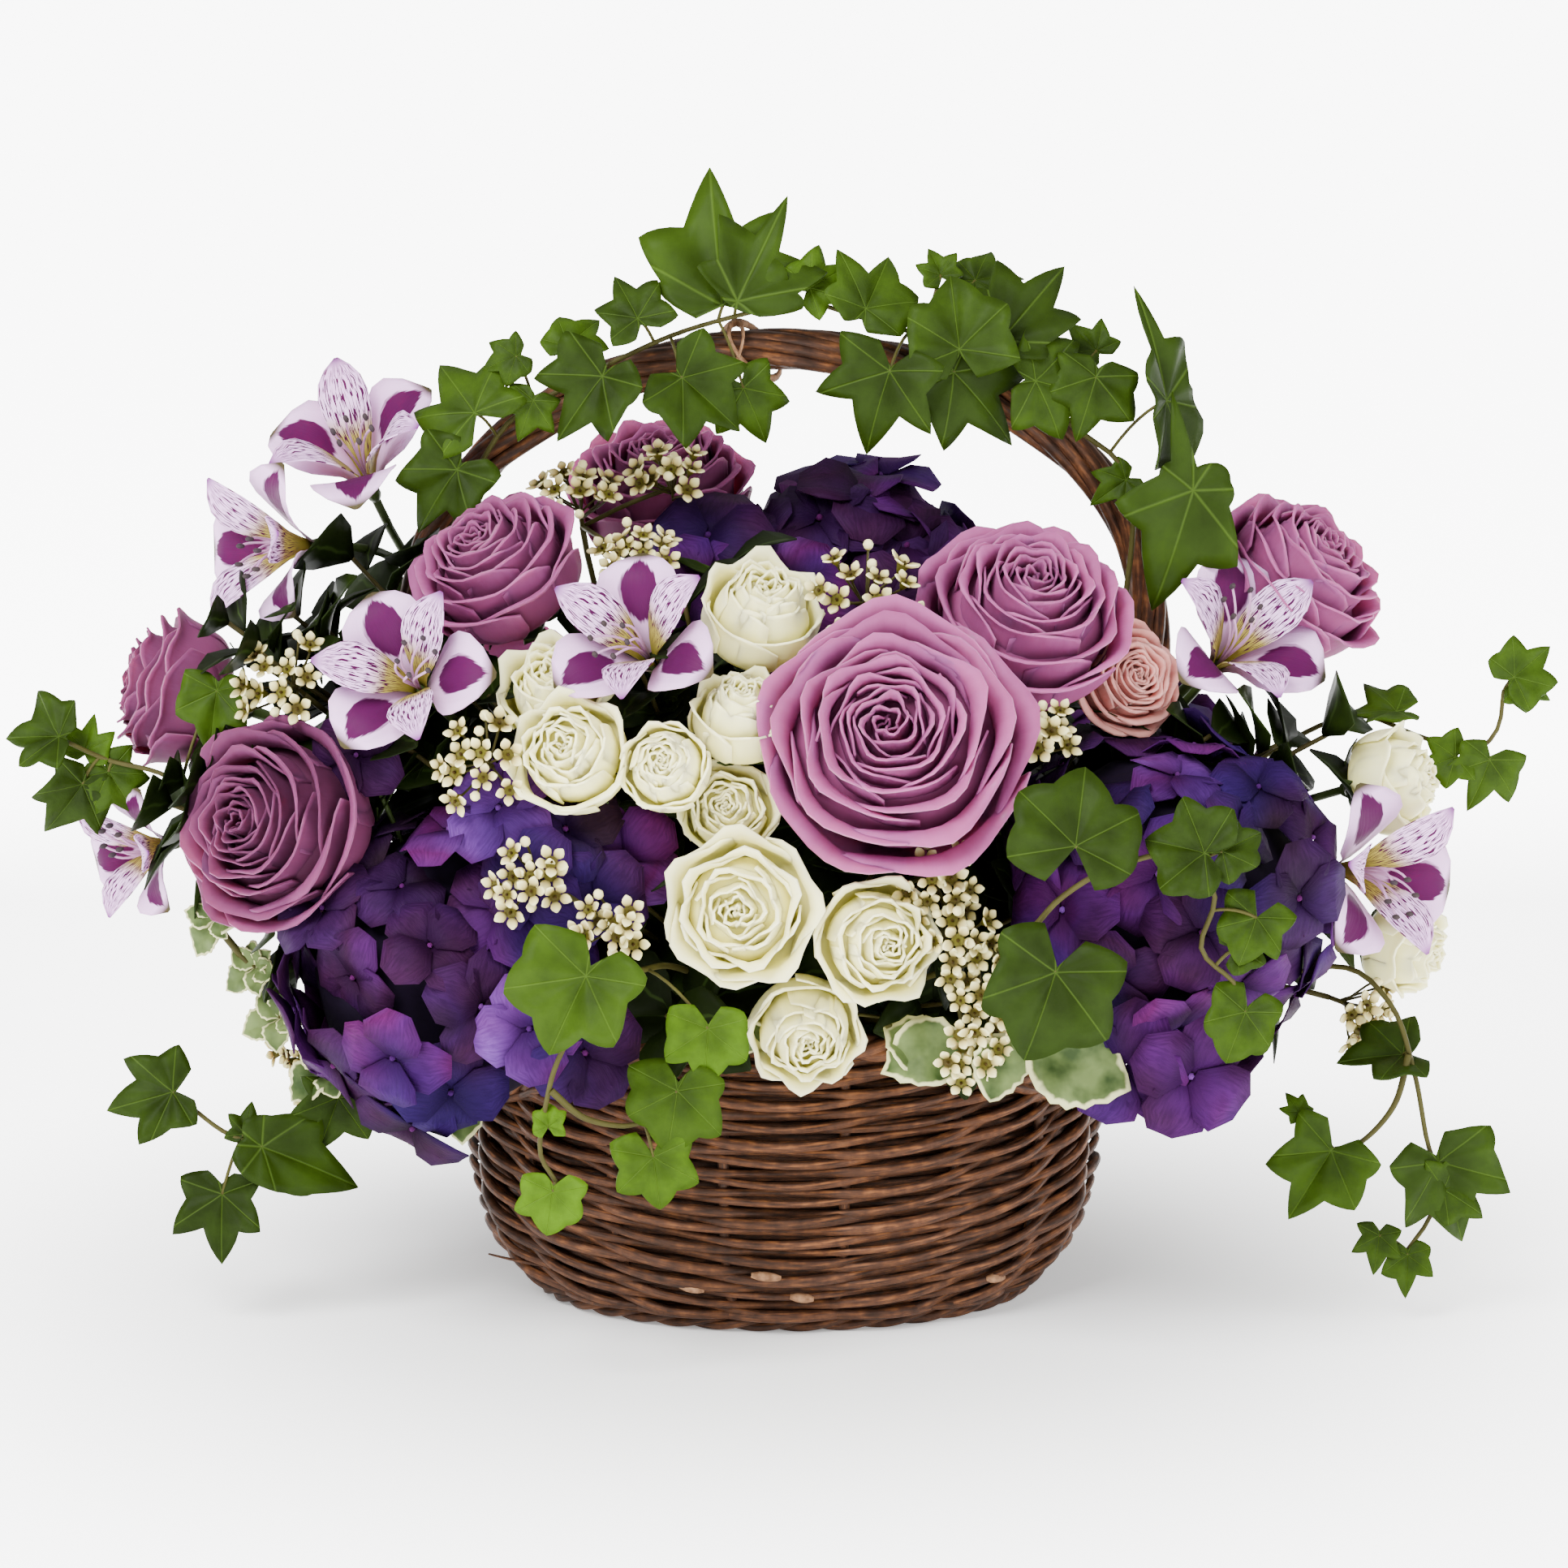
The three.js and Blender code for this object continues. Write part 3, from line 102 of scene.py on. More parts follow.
# Hydrangea: middle of the head, its radius, width of a floret.
HYDRANGEAS = {
    "left": (-112, -65, 130, 60, 42),
    "right": (128, -65, 153, 62, 42),
    "top": (27, 45, 244, 43, 48),
    "back_left": (-60, 92, 118, 50, 40),
    "back_right": (128, 78, 150, 56, 42),
}
# Florets outside the balls: place, azimuth, elevation and width.
LOOSE_FLORETS = {
    "left": [(-94, -100, 190, -20, 30, 40), (-72, -104, 184, -5, 20, 38),
             (-52, -102, 174, 10, 15, 38), (-84, -108, 168, -15, 10, 38),
             (-143, -76, 204, -20, 20, 34),
             (-62, -108, 162, 5, 5, 36), (-66, -118, 112, 10, 0, 40), (-84, -118, 120, 0, 5, 38)],
    "right": [(112, -118, 108, -5, -5, 44), (134, -116, 104, 15, -10, 44)],
    "top": [(-26, 0, 268, -15, 40, 46), (-30, -12, 250, -10, 20, 44), (4, -8, 250, 0, 30, 44)],
}
ALSTROEMERIA = {
    "upper_left": [(-149, -5, 301, -22, 52, 64), (-177, -27, 269, -52, 5, 58)],
    "left": [(-126, -86, 233, -15, 25, 60)],
    "middle": [(-49, -92, 246, -20, 35, 60)],
    "upper_right": [(156, -35, 237, 25, 35, 62)],
    "right": [(204, -50, 159, 40, 5, 62)],
    "far_left": [(-226, -18, 160, -45, -5, 48)],
}
# Waxflower: the clusters' middles and spreads, and the azimuth and elevation they face.
WAXFLOWERS = {
    "left": ([(-169, -60, 228, 15)], (-25, 30)),
    "middle_left": ([(-100, -106, 208, 14)], (-15, 20)),
    "top": ([(-72, 2, 284, 13), (-40, 6, 290, 11), (-50, -28, 266, 12)], (-10, 60)),
    "upper": ([(28, -75, 261, 17), (86, -96, 214, 8)], (5, 45)),
    "front_left": ([(-84, -121, 171, 11), (-57, -126, 156, 10)], (-15, 10)),
    "front_right": ([(52, -112, 168, 12), (60, -116, 148, 11), (68, -116, 130, 11),
                     (62, -114, 112, 10)], (12, 5)),
    "low_left": ([(-168, -22, 88, 17)], (-50, -5)),
    "low_right": ([(203, -25, 105, 11)], (50, -10)),
}
# Ivy: runs of vine, then leaves as joint, turn of the tip seen from the front, the tip's
# length, and the azimuth and elevation that the blade faces.
IVY = {
    "handle_left": (
        [[(-18, -4, 108), (-70, -10, 150), (-108, -11, 212), (-117, -11, 262), (-99, -12, 305),
          (-77, -12, 321), (-58, -12, 331), (-38, -12, 340), (-18, -11, 346), (0, -10, 350)]],
        [(-106, -22, 314, 125, 26, -15, 30), (-112, -26, 295, 235, 25, -10, 10),
         (-86, -20, 318, 250, 14), (-74, -16, 336, 60, 17, 0, 35),
         (-50, -19, 346, 115, 20, -10, 35), (-62, -26, 327, 235, 26, -15, 15),
         (-35, -22, 326, -40, 26, 15, 15), (-14, -16, 322, -65, 20, 10, 5),
         (-21, -14, 350, 97, 49, -5, 10), (-16, -20, 352, 63, 42, 10, 15),
         (-92, -16, 333, 200, 12)]),
    "handle_right": (
        [[(20, -4, 108), (74, -10, 150), (108, -11, 205), (120, -12, 262), (118, -12, 292),
          (103, -12, 306), (85, -12, 319), (65, -12, 331), (46, -12, 340), (26, -11, 346),
          (10, -10, 351)]],
        [(9, -14, 356, 35, 17, 5, 20), (28, -14, 349, 60, 24, 20, 25),
         (60, -24, 336, 96, 27, 0, 15), (36, -29, 329, 252, 28, -12, 10),
         (58, -23, 328, -45, 32, 15, 12), (74, -18, 338, 52, 38, 5, 20),
         (86, -23, 325, -8, 25, 15, 15), (66, -4, 358, 20, 17, 0, 40), (108, -6, 334, 130, 14),
         (107, -18, 326, 252, 22, 10, 15), (118, -14, 290, 215, 14),
         (140, -28, 288, 252, 43, 10, 8), (131, -20, 318, 97, 40, 55, 5),
         (54, -6, 360, 110, 11)]),
    "front_left": (
        [[(-14, -20, 108), (-34, -82, 132), (-45, -118, 140), (-60, -142, 138),
          (-73, -142, 116), (-78, -138, 98), (-80, -135, 82), (-75, -134, 72)],
         [(-76, -140, 104), (-66, -135, 94), (-54, -131, 90), (-46, -130, 91)]],
        [(-64, -148, 144, 245, 29, -10, 15), (-25, -128, 122, 266, 19, 5, 12),
         (-35, -132, 102, 261, 21, 0, 14), (-43, -133, 80, 277, 18, 5, 10),
         (-76, -136, 69, 262, 15, 0, 10), (-77, -140, 92, 90, 8)]),
    "front_right": (
        [[(14, -18, 106), (48, -76, 128), (76, -122, 150), (90, -138, 168), (106, -140, 178),
          (128, -137, 182), (140, -134, 168), (136, -133, 150), (147, -128, 138),
          (150, -126, 130)]],
        [(94, -144, 186, 80, 27, 5, 15), (88, -142, 144, 252, 31, 5, 10),
         (136, -140, 183, 165, 20), (142, -138, 183, 30, 15), (154, -132, 160, 250, 17),
         (151, -130, 128, 250, 18), (148, -132, 150, 20, 12)]),
    "right_up": (
        [[(21, 4, 104), (100, 15, 140), (160, 14, 182), (198, 6, 204), (222, -4, 199),
          (240, -8, 194), (249, -10, 202), (251, -10, 216)]],
        [(214, -8, 208, 175, 20, 0, 70), (254, -13, 221, 40, 18, 10, 20),
         (246, -14, 192, 250, 18, 10, 10), (234, -14, 193, 200, 15),
         (256, -10, 218, -25, 12)]),
    "right_hanging": (
        [[(21, -5, 94), (86, -12, 100), (140, -24, 104), (188, -40, 124), (208, -50, 114),
          (217, -53, 90), (222, -52, 66), (226, -51, 52), (224, -52, 38), (216, -53, 26)],
         [(215, -54, 96), (210, -57, 79), (199, -60, 67), (189, -60, 64)]],
        [(188, -62, 64, 240, 27, -5, 10), (226, -54, 58, 290, 30, 10, 5),
         (228, -54, 48, 20, 18, 15, 10), (206, -55, 32, 262, 13), (216, -55, 25, 268, 14),
         (177, -60, 77, 120, 8), (214, -46, 94, 190, 22, 5, 60)]),
    "left_up": (
        [[(-21, 5, 102), (-70, 14, 120), (-114, 15, 142), (-156, -6, 164), (-198, -30, 181),
          (-216, -29, 190), (-234, -26, 194), (-248, -29, 201)]],
        [(-250, -31, 203, 165, 21, -20, 40), (-243, -28, 186, 235, 21, 25, -15),
         (-242, -24, 197, 80, 13), (-234, -26, 190, 300, 17, 5, 5),
         (-193, -50, 222, 262, 21, -10, 15)]),
    "left_low": (
        [[(-21, -3, 96), (-84, -10, 100), (-126, -24, 96), (-150, -44, 82), (-164, -53, 69),
          (-178, -54, 65), (-192, -54, 68), (-208, -50, 79)]],
        [(-211, -51, 82, 195, 23, -5, 25), (-194, -56, 47, 272, 23, -15, 15),
         (-180, -57, 64, -21, 37, 15, 20), (-154, -50, 80, 250, 20, 10, 0),
         (-186, -54, 68, 80, 11)]),
}
# Leaves with a pale edge: runs of stem, then leaves as in the ivy. The last number is how
# many small leaves stand round it.
GREENS = {
    "front": (
        [[(6, -21, 100), (40, -74, 112), (68, -104, 112), (80, -114, 112)]],
        [(80, -122, 116, -25, 38, 5, 15, 0), (60, -112, 116, 205, 30, -5, 20, 0),
         (-2, -104, 114, 190, 24, -10, -45, 0), (34, -108, 118, -40, 24, 20, 30, 0),
         (74, -116, 118, 255, 24, 5, 10, 0)]),
    "left": (
        [[(-20, -12, 92), (-80, -30, 90), (-124, -40, 84), (-140, -42, 70)],
         [(-140, -42, 84), (-160, -46, 100), (-182, -48, 124), (-196, -50, 142)]],
        [(-158, -52, 92, 225, 18, -20, 15, 5), (-174, -50, 108, 200, 15, -20, 20, 5),
         (-182, -50, 126, 215, 14, -25, 15, 5), (-195, -52, 143, 240, 15, -25, 10, 5),
         (-128, -50, 80, 200, 22, -20, 30, 3), (-110, -52, 82, 270, 18, -10, 20, 3)]),
    "back": (
        [[(2, 22, 100), (20, 80, 112), (60, 112, 118), (84, 118, 108)]],
        [(84, 120, 108, -10, 28, 175, 30, 3), (60, 116, 116, 215, 24, 180, 20, 3),
         (36, 104, 112, -80, 24, 180, 20, 3)]),
}
# How far the middle of a stem is moved along Y to pass the handle's leg.
SWAYS = {
    "rose_far_left": -22, "spray_roses_right": -20, "alstroemeria_upper_left": 16,
    "alstroemeria_upper_right": -22, "alstroemeria_right": -38, "alstroemeria_far_left": -18,
    "waxflower_low_left": -28, "waxflower_low_right": -16,
}

# ---- vectors and curves --------------------------------------------------------------------


def unit(vectors):
    """Vectors divided by their lengths."""
    vectors = np.asarray(vectors, float)
    return vectors / np.maximum(np.linalg.norm(vectors, axis=-1, keepdims=True), 1e-9)


def direction(azimuth, elevation):
    """The unit vector of a compass direction and a height above the horizon."""
    a, e = np.radians([azimuth, elevation])
    return np.array([np.sin(a) * np.cos(e), -np.cos(a) * np.cos(e), np.sin(e)])


def axes_about(axis, spin=0.0):
    """Rows right, up and axis: two directions square to the axis, turned by the spin."""
    axis = unit(axis)
    upright = (0, 1, 0) if abs(axis[2]) > 0.95 else (0, 0, 1)
    right = unit(np.cross(upright, axis))
    up = np.cross(axis, right)
    cos, sin = np.cos(spin), np.sin(spin)
    return np.array([cos * right + sin * up, cos * up - sin * right, axis])


def placed(local, axes, middle):
    """Points given along three axes from a middle, as points of the row frame."""
    return np.asarray(local) @ axes + np.asarray(middle, float)


def cubic(corners, t):
    """Places on a cubic curve with four corners, by the usual weights of the corners."""
    t = np.asarray(t, float)[..., None]
    a, b, c, d = (np.asarray(corner, float) for corner in corners)
    return (1 - t) ** 3 * a + 3 * t * (1 - t) ** 2 * b + 3 * t * t * (1 - t) * c + t ** 3 * d


def evenly(path, steps):
    """A path's points again, spaced evenly along its length."""
    along = np.concatenate([[0], np.cumsum(np.linalg.norm(np.diff(path, axis=0), axis=1))])
    wanted = np.linspace(0, along[-1], steps + 1)
    return np.stack([np.interp(wanted, along, path[:, i]) for i in range(3)], axis=-1)


def smooth_path(points, steps):
    """A curve through points: between two of them a cubic whose slope at each point is half
    the chord between its neighbours, then spaced evenly."""
    p = np.asarray(points, float)
    before = np.vstack([2 * p[0] - p[1], p[:-1]])
    after = np.vstack([p[1:], 2 * p[-1] - p[-2]])
    slope = (after - before) / 2
    t = np.linspace(0, 1, 13)[:-1, None, None]
    h1, h2 = 2 * t ** 3 - 3 * t ** 2 + 1, t ** 3 - 2 * t ** 2 + t
    h3, h4 = -2 * t ** 3 + 3 * t ** 2, t ** 3 - t ** 2
    bits = h1 * p[:-1] + h2 * slope[:-1] + h3 * p[1:] + h4 * slope[1:]
    return evenly(np.vstack([bits.transpose(1, 0, 2).reshape(-1, 3), p[-1]]), steps)


def path_axes(path):
    """For each point of a path its side, up and tangent: the side is square to the tangent
    and to the direction in which the path spreads least, so that it never turns over."""
    tangent = unit(np.gradient(path, axis=0))
    spread = path - path.mean(axis=0)
    least = np.linalg.svd(spread, full_matrices=False)[2][-1]
    side = unit(np.cross(tangent, least))
    return side, np.cross(tangent, side), tangent


def stem_path(end, axis, sway=0.0, steps=14):
    """A stem from the foam's heart: it leaves straight and arrives along the bloom's axis,
    and its middle is moved along Y by the sway."""
    end = np.asarray(end, float)
    outward = unit(end - STEM_HEART)
    root = STEM_HEART + STEM_ROOT * outward
    reach = np.linalg.norm(end - root)
    aside = np.array([0, sway, 0])
    leaving = root + LEAVING_REACH * reach * outward + aside
    arriving = end - ARRIVING_REACH * reach * np.asarray(axis) + aside
    return cubic((root, leaving, arriving, end), np.linspace(0, 1, steps + 1))


def branch_path(stem, share, end, axis, steps=10):
    """A branch that leaves a stem along its run and arrives along the bloom's axis."""
    even = evenly(stem, 40)
    i = int(round(share * 40))
    fork, leaving_axis = even[i], unit(even[min(i + 1, 40)] - even[i - 1])
    end = np.asarray(end, float)
    reach = np.linalg.norm(end - fork)
    leaving = fork + FORK_REACH * reach * leaving_axis
    arriving = end - ARRIVING_REACH * reach * np.asarray(axis)
    return cubic((fork, leaving, arriving, end), np.linspace(0, 1, steps + 1))


# ---- surfaces ------------------------------------------------------------------------------


class Skin:
    """A closed surface: points, faces as point numbers (a three-cornered face repeats its
    last one), a flat map, a tone and a finish number, and which faces stay flat-shaded."""

    def __init__(self, points, faces, flat=None, tone=0.5, look=0, crisp=None):
        self.points = np.asarray(points, float)
        self.faces = np.asarray(faces, int)
        count = len(self.points)
        self.flat = np.zeros((count, 2)) if flat is None else np.asarray(flat, float)
        self.tone = np.broadcast_to(np.asarray(tone, float), (count,))
        self.look = np.full(len(self.faces), look)
        self.crisp = np.zeros(len(self.faces), bool) if crisp is None else crisp


def grid_faces(rows, columns, looped=False, joined=False):
    """Faces between neighbouring rows and columns of a grid of points, which may close
    round its columns, its rows or both."""
    number = np.arange(rows * columns).reshape(rows, columns)
    if looped:
        number = np.column_stack([number, number[:, :1]])
    if joined:
        number = np.vstack([number, number[:1]])
    corners = number[:-1, :-1], number[:-1, 1:], number[1:, 1:], number[1:, :-1]
    return np.stack(corners, axis=-1).reshape(-1, 4)


def blade(points, thickness, tone=0.5, look=0):
    """A thin closed sheet about a grid of points: a front and a back, each half the
    thickness out along the surface's normal, and a flat edge all round."""
    rows, columns = points.shape[:2]
    across, along = np.gradient(points, axis=1), np.gradient(points, axis=0)
    normal = unit(np.cross(across, along))
    v, u = np.meshgrid(np.linspace(0, 1, rows), np.linspace(0, 1, columns), indexing="ij")
    flat = np.stack([u, v], axis=-1).reshape(-1, 2)
    count = rows * columns
    front = grid_faces(rows, columns)
    number = np.arange(count).reshape(rows, columns)
    rim = np.concatenate([number[0], number[1:, -1], number[-1, -2::-1], number[-2:0:-1, 0]])
    then = np.roll(rim, -1)
    wall = np.stack([rim + count, then + count, then, rim], axis=-1)
    both = np.concatenate([points + normal * thickness / 2, points - normal * thickness / 2])
    faces = np.concatenate([front, front[:, ::-1] + count, wall])
    crisp = np.arange(len(faces)) >= 2 * len(front)
    return Skin(both.reshape(-1, 3), faces, np.tile(flat, (2, 1)), tone, look, crisp)


def tube(path, radius, sides=6, tone=0.5, look=0):
    """A round rod: a circle of the given radius square to the path at each of its points,
    closed at both ends. The flat map runs round the rod and along it, in millimetres."""
    side, up, _ = path_axes(path)
    radius = np.broadcast_to(np.asarray(radius, float), (len(path),))[:, None, None]
    angle = np.linspace(0, 2 * np.pi, sides, endpoint=False)[None, :, None]
    ring = np.cos(angle) * side[:, None] + np.sin(angle) * up[:, None]
    points = path[:, None] + radius * ring
    return closed_rings(points, path[0], path[-1], tone, look)


def closed_rings(rings, start, end, tone=0.5, look=0):
    """Rings of points joined into a skin, each end closed by a fan about one point."""
    rows, sides = rings.shape[:2]
    count = rows * sides
    i = np.arange(sides)
    j = (i + 1) % sides
    last = count - sides
    first_fan = np.stack([np.full(sides, count), j, i, i], axis=-1)
    last_fan = np.stack([np.full(sides, count + 1), last + i, last + j, last + j], axis=-1)
    points = np.vstack([rings.reshape(-1, 3), start, end])
    run = np.linalg.norm(np.diff(rings.mean(axis=1), axis=0), axis=1)
    along = np.concatenate([[0], np.cumsum(run)])
    flat = np.stack(np.meshgrid(along, np.arange(sides) / sides, indexing="ij"), axis=-1)
    flat = np.vstack([flat.reshape(-1, 2)[:, ::-1], [0.5, 0], [0.5, along[-1]]])
    if np.ndim(tone) == 1:
        tone = np.concatenate([np.repeat(tone, sides), [tone[0], tone[-1]]])
    faces = np.concatenate([grid_faces(rows, sides, True), first_fan, last_fan])
    return Skin(points, faces, flat, tone, look)


def lamina(outline, height, thickness, axes, middle, scale, rings=5, tone=0.5, look=0):
    """A thin leaf: the outline shrunk towards its middle in rings, lifted by the height
    function of the flat place, with a back the thickness below and an edge between."""
    share = np.linspace(0, 1, rings + 1)[1:, None, None]
    flat = share * np.asarray(outline)[None]
    sides = flat.shape[1]
    flat = np.vstack([flat.reshape(-1, 2), [0, 0]])
    z = height(flat[:, 0], flat[:, 1])
    step = 0.01
    slope_x = (height(flat[:, 0] + step, flat[:, 1]) - z) / step
    slope_y = (height(flat[:, 0], flat[:, 1] + step) - z) / step
    normal = unit(np.stack([-slope_x, -slope_y, np.ones_like(z)], axis=-1))
    local = np.column_stack([flat, z])
    half = normal * thickness / (2 * scale)
    both = placed(scale * np.vstack([local + half, local - half]), axes, middle)
    count = len(flat)
    if tone is None:
        tone = np.tile(np.append(np.repeat(share.ravel(), sides), 0), 2)
    i = np.arange(sides)
    j = (i + 1) % sides
    fan = np.stack([np.full(sides, count - 1), i, j, j], axis=-1)
    front = np.concatenate([grid_faces(rings, sides, True)[:, ::-1], fan])
    edge = (rings - 1) * sides
    wall = np.stack([edge + i, edge + i + count, edge + j + count, edge + j], axis=-1)
    faces = np.concatenate([front, front[:, ::-1] + count, wall])
    crisp = np.arange(len(faces)) >= 2 * len(front)
    return Skin(both, faces, np.tile(0.5 + 0.5 * flat, (2, 1)), tone, look, crisp)


def make_piece(name, skins, finishes, replaces=()):
    """A mesh object of several skins in metres, with its finishes, on the basket's body."""
    points = np.vstack([skin.points for skin in skins])
    starts = np.cumsum([0] + [len(skin.points) for skin in skins[:-1]])
    corners = np.vstack([skin.faces + start for skin, start in zip(skins, starts)])
    keep = np.ones(corners.shape, bool)
    keep[:, 3] = corners[:, 3] != corners[:, 2]
    loops = corners[keep]
    sizes = keep.sum(axis=1)
    mesh = bpy.data.meshes.new(name)
    mesh.vertices.add(len(points))
    mesh.vertices.foreach_set("co", (points * MM).astype(np.float32).ravel())
    mesh.loops.add(len(loops))
    mesh.loops.foreach_set("vertex_index", loops.astype(np.int32))
    mesh.polygons.add(len(corners))
    mesh.polygons.foreach_set("loop_start", (np.cumsum(sizes) - sizes).astype(np.int32))
    look = np.concatenate([skin.look for skin in skins])
    mesh.polygons.foreach_set("material_index", look.astype(np.int32))
    crisp = np.concatenate([skin.crisp for skin in skins])
    mesh.polygons.foreach_set("use_smooth", ~crisp)
    flat = np.vstack([skin.flat for skin in skins])[loops]
    mesh.uv_layers.new(name="flat").uv.foreach_set("vector", flat.astype(np.float32).ravel())
    tone = np.concatenate([skin.tone for skin in skins])
    tones = mesh.attributes.new("tone", "FLOAT", "POINT")
    tones.data.foreach_set("value", tone.astype(np.float32))
    for finish in finishes:
        mesh.materials.append(finish)
    mesh.update(calc_edges=True)
    mesh.validate()
    piece = bpy.data.objects.new(name, mesh)
    bpy.context.scene.collection.objects.link(piece)
    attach(piece, BODY)
    if replaces:
        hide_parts(*replaces)
    return piece


# ---- finishes ------------------------------------------------------------------------------


def colour(code):
    """A display colour, six hexadecimal digits, as linear light. A colour of the settings is
    linear already."""
    if not isinstance(code, int):
        return tuple(code)
    display = np.array([code >> 16 & 255, code >> 8 & 255, code & 255]) / 255
    linear = np.where(display <= 0.04045, display / 12.92, ((display + 0.055) / 1.055) ** 2.4)
    return (*linear.tolist(), 1.0)


class Finish:
    """A procedural material, written node by node."""

    def __init__(self, name, roughness, gloss=0.5, soft=0.0, depth=0.002):
        self.material = bpy.data.materials.new(name)
        self.material.use_nodes = True
        self.tree = self.material.node_tree
        self.shader = self.tree.nodes["Principled BSDF"]
        for socket, value in (("Roughness", roughness), ("Specular IOR Level", gloss),
                              ("Subsurface Weight", soft), ("Subsurface Scale", depth),
                              ("Subsurface Radius", (1.0, 0.6, 0.6))):
            self.shader.inputs[socket].default_value = value
        self.place = self.node("ShaderNodeTexCoord").outputs["Object"]
        self.flat = self.node("ShaderNodeUVMap", uv_map="flat").outputs["UV"]
        self.tone = self.node("ShaderNodeAttribute", attribute_name="tone").outputs["Fac"]

    def node(self, kind, inputs=(), **settings):
        """A new node with its settings, its inputs linked or set."""
        node = self.tree.nodes.new(kind)
        for setting, value in settings.items():
            setattr(node, setting, value)
        for socket, value in dict(inputs).items():
            self.feed(node.inputs[socket], value)
        return node

    def feed(self, socket, value):
        """Links a socket to another node's output, or sets it."""
        if isinstance(value, bpy.types.NodeSocket):
            self.tree.links.new(value, socket)
        else:
            socket.default_value = value

    def math(self, operation, *values):
        """One sum on numbers."""
        return self.node("ShaderNodeMath", enumerate(values), operation=operation).outputs[0]

    def span(self, value, low, high, start=0.0, end=1.0):
        """A value's run from low to high, turned into start to end with a soft ramp."""
        names = ("Value", "From Min", "From Max", "To Min", "To Max")
        inputs = zip(names, (value, low, high, start, end))
        return self.node("ShaderNodeMapRange", inputs, interpolation_type="SMOOTHSTEP").outputs[0]

    def parts(self, vector):
        """The two flat shares of a map place."""
        split = self.node("ShaderNodeSeparateXYZ", {"Vector": vector})
        return split.outputs["X"], split.outputs["Y"]

    def noise(self, scale, detail=2.0, stretch=(1, 1, 1), vector=None):
        """Cloudy noise over the place, stretched along the axes."""
        where = self.place if vector is None else vector
        mapped = self.node("ShaderNodeMapping", {"Vector": where, "Scale": stretch})
        inputs = {"Vector": mapped.outputs[0], "Scale": scale, "Detail": detail}
        return self.node("ShaderNodeTexNoise", inputs).outputs["Fac"]

    def ramp(self, value, stops):
        """Colours at places along a value."""
        node = self.node("ShaderNodeValToRGB", {"Fac": value})
        elements = node.color_ramp.elements
        while len(elements) < len(stops):
            elements.new(1.0)
        for element, (place, code) in zip(elements, stops):
            element.position = place
            element.color = colour(code)
        return node.outputs["Color"]

    def mix(self, share, first, second, blend="MIX"):
        """Two colours mixed by a share."""
        node = self.node("ShaderNodeMix", {0: share}, data_type="RGBA", blend_type=blend)
        for i, value in ((6, first), (7, second)):
            self.feed(node.inputs[i], value if isinstance(value, bpy.types.NodeSocket)
                      else colour(value))
        return node.outputs[2]

    def grey(self, level):
        """A grey of a level."""
        inputs = {"Red": level, "Green": level, "Blue": level}
        return self.node("ShaderNodeCombineColor", inputs).outputs[0]

    def shade(self, code, low, high):
        """A colour made darker and lighter by the piece's tone."""
        level = self.node("ShaderNodeMapRange", zip(("Value", "To Min", "To Max"),
                                                    (self.tone, low, high))).outputs[0]
        return self.mix(1.0, code, self.grey(level), "MULTIPLY")

    def close(self, base, bump=None, depth=0.0004, strength=0.6):
        """Feeds the base colour and the bumps, and gives the material."""
        self.feed(self.shader.inputs["Base Color"], base)
        if bump is not None:
            inputs = {"Height": bump, "Distance": depth, "Strength": strength}
            normal = self.node("ShaderNodeBump", inputs).outputs[0]
            self.feed(self.shader.inputs["Normal"], normal)
        return self.material


def willow_finish(dark, pale):
    """Dark stained willow: streaks along each rod from a dark to a pale brown, the tone from
    rod to rod."""
    f = Finish("dark_willow", 0.5, 0.14)
    streak = f.noise(1.0, 4.0, (9.0, 0.09, 1.0), f.flat)
    mottle = f.noise(240.0, 3.0)
    grain = f.math("ADD", f.math("MULTIPLY", streak, 0.7), f.math("MULTIPLY", mottle, 0.3))
    wood = f.ramp(grain, [(0.30, dark), (0.43, 0x38241A), (0.53, 0x4E3120), (0.66, pale)])
    return f.close(f.shade(wood, 0.5, 1.42), streak, 0.0005, 0.7)


def pith_finish():
    """The pale cut end of a rod."""
    f = Finish("cut_willow", 0.7, 0.2)
    return f.close(f.ramp(f.noise(500.0), [(0.3, 0x6A4A34), (0.7, 0x9A7454)]))


def plastic_finish():
    """The liner's thin moulded sheet."""
    f = Finish("liner_sheet", 0.4)
    return f.close(f.ramp(f.noise(60.0), [(0.3, 0x10201A), (0.7, 0x18302A)]))


def foam_finish():
    """Wet foam: fine pores that darken the block."""
    f = Finish("wet_foam", 0.9, 0.2)
    pores = f.noise(1500.0, 3.0)
    return f.close(f.ramp(pores, [(0.3, 0x0C1C10), (0.7, 0x1E3C22)]), pores, 0.0006)


def rose_finish(name, deep, cup, face, lip):
    """A rose petal: deep in the cup and along the veins, paler at the lip. The deep colour low in
    the cup is partly the petal's own and partly painted shade, and the pale lip is partly its own
    colour and partly painted light on the rolled edge.
    """
    f = Finish(name, 0.6, 0.05, 0.5, 0.004)
    along = f.parts(f.flat)[1]
    vein = f.noise(3.0, 3.0, (7.0, 0.8, 1.0), f.flat)
    height = f.math("ADD", along, f.math("MULTIPLY", f.math("SUBTRACT", vein, 0.5), 0.25))
    # Deep and cup colours are partly painted shade low in the cup; the lip colour is partly painted
    # light on the rolled lip.
    petal = f.ramp(height, [(0.05, deep), (0.45, cup), (0.78, face), (0.98, lip)])
    return f.close(f.shade(petal, 0.25, 1.42), vein, 0.0004, 0.4)


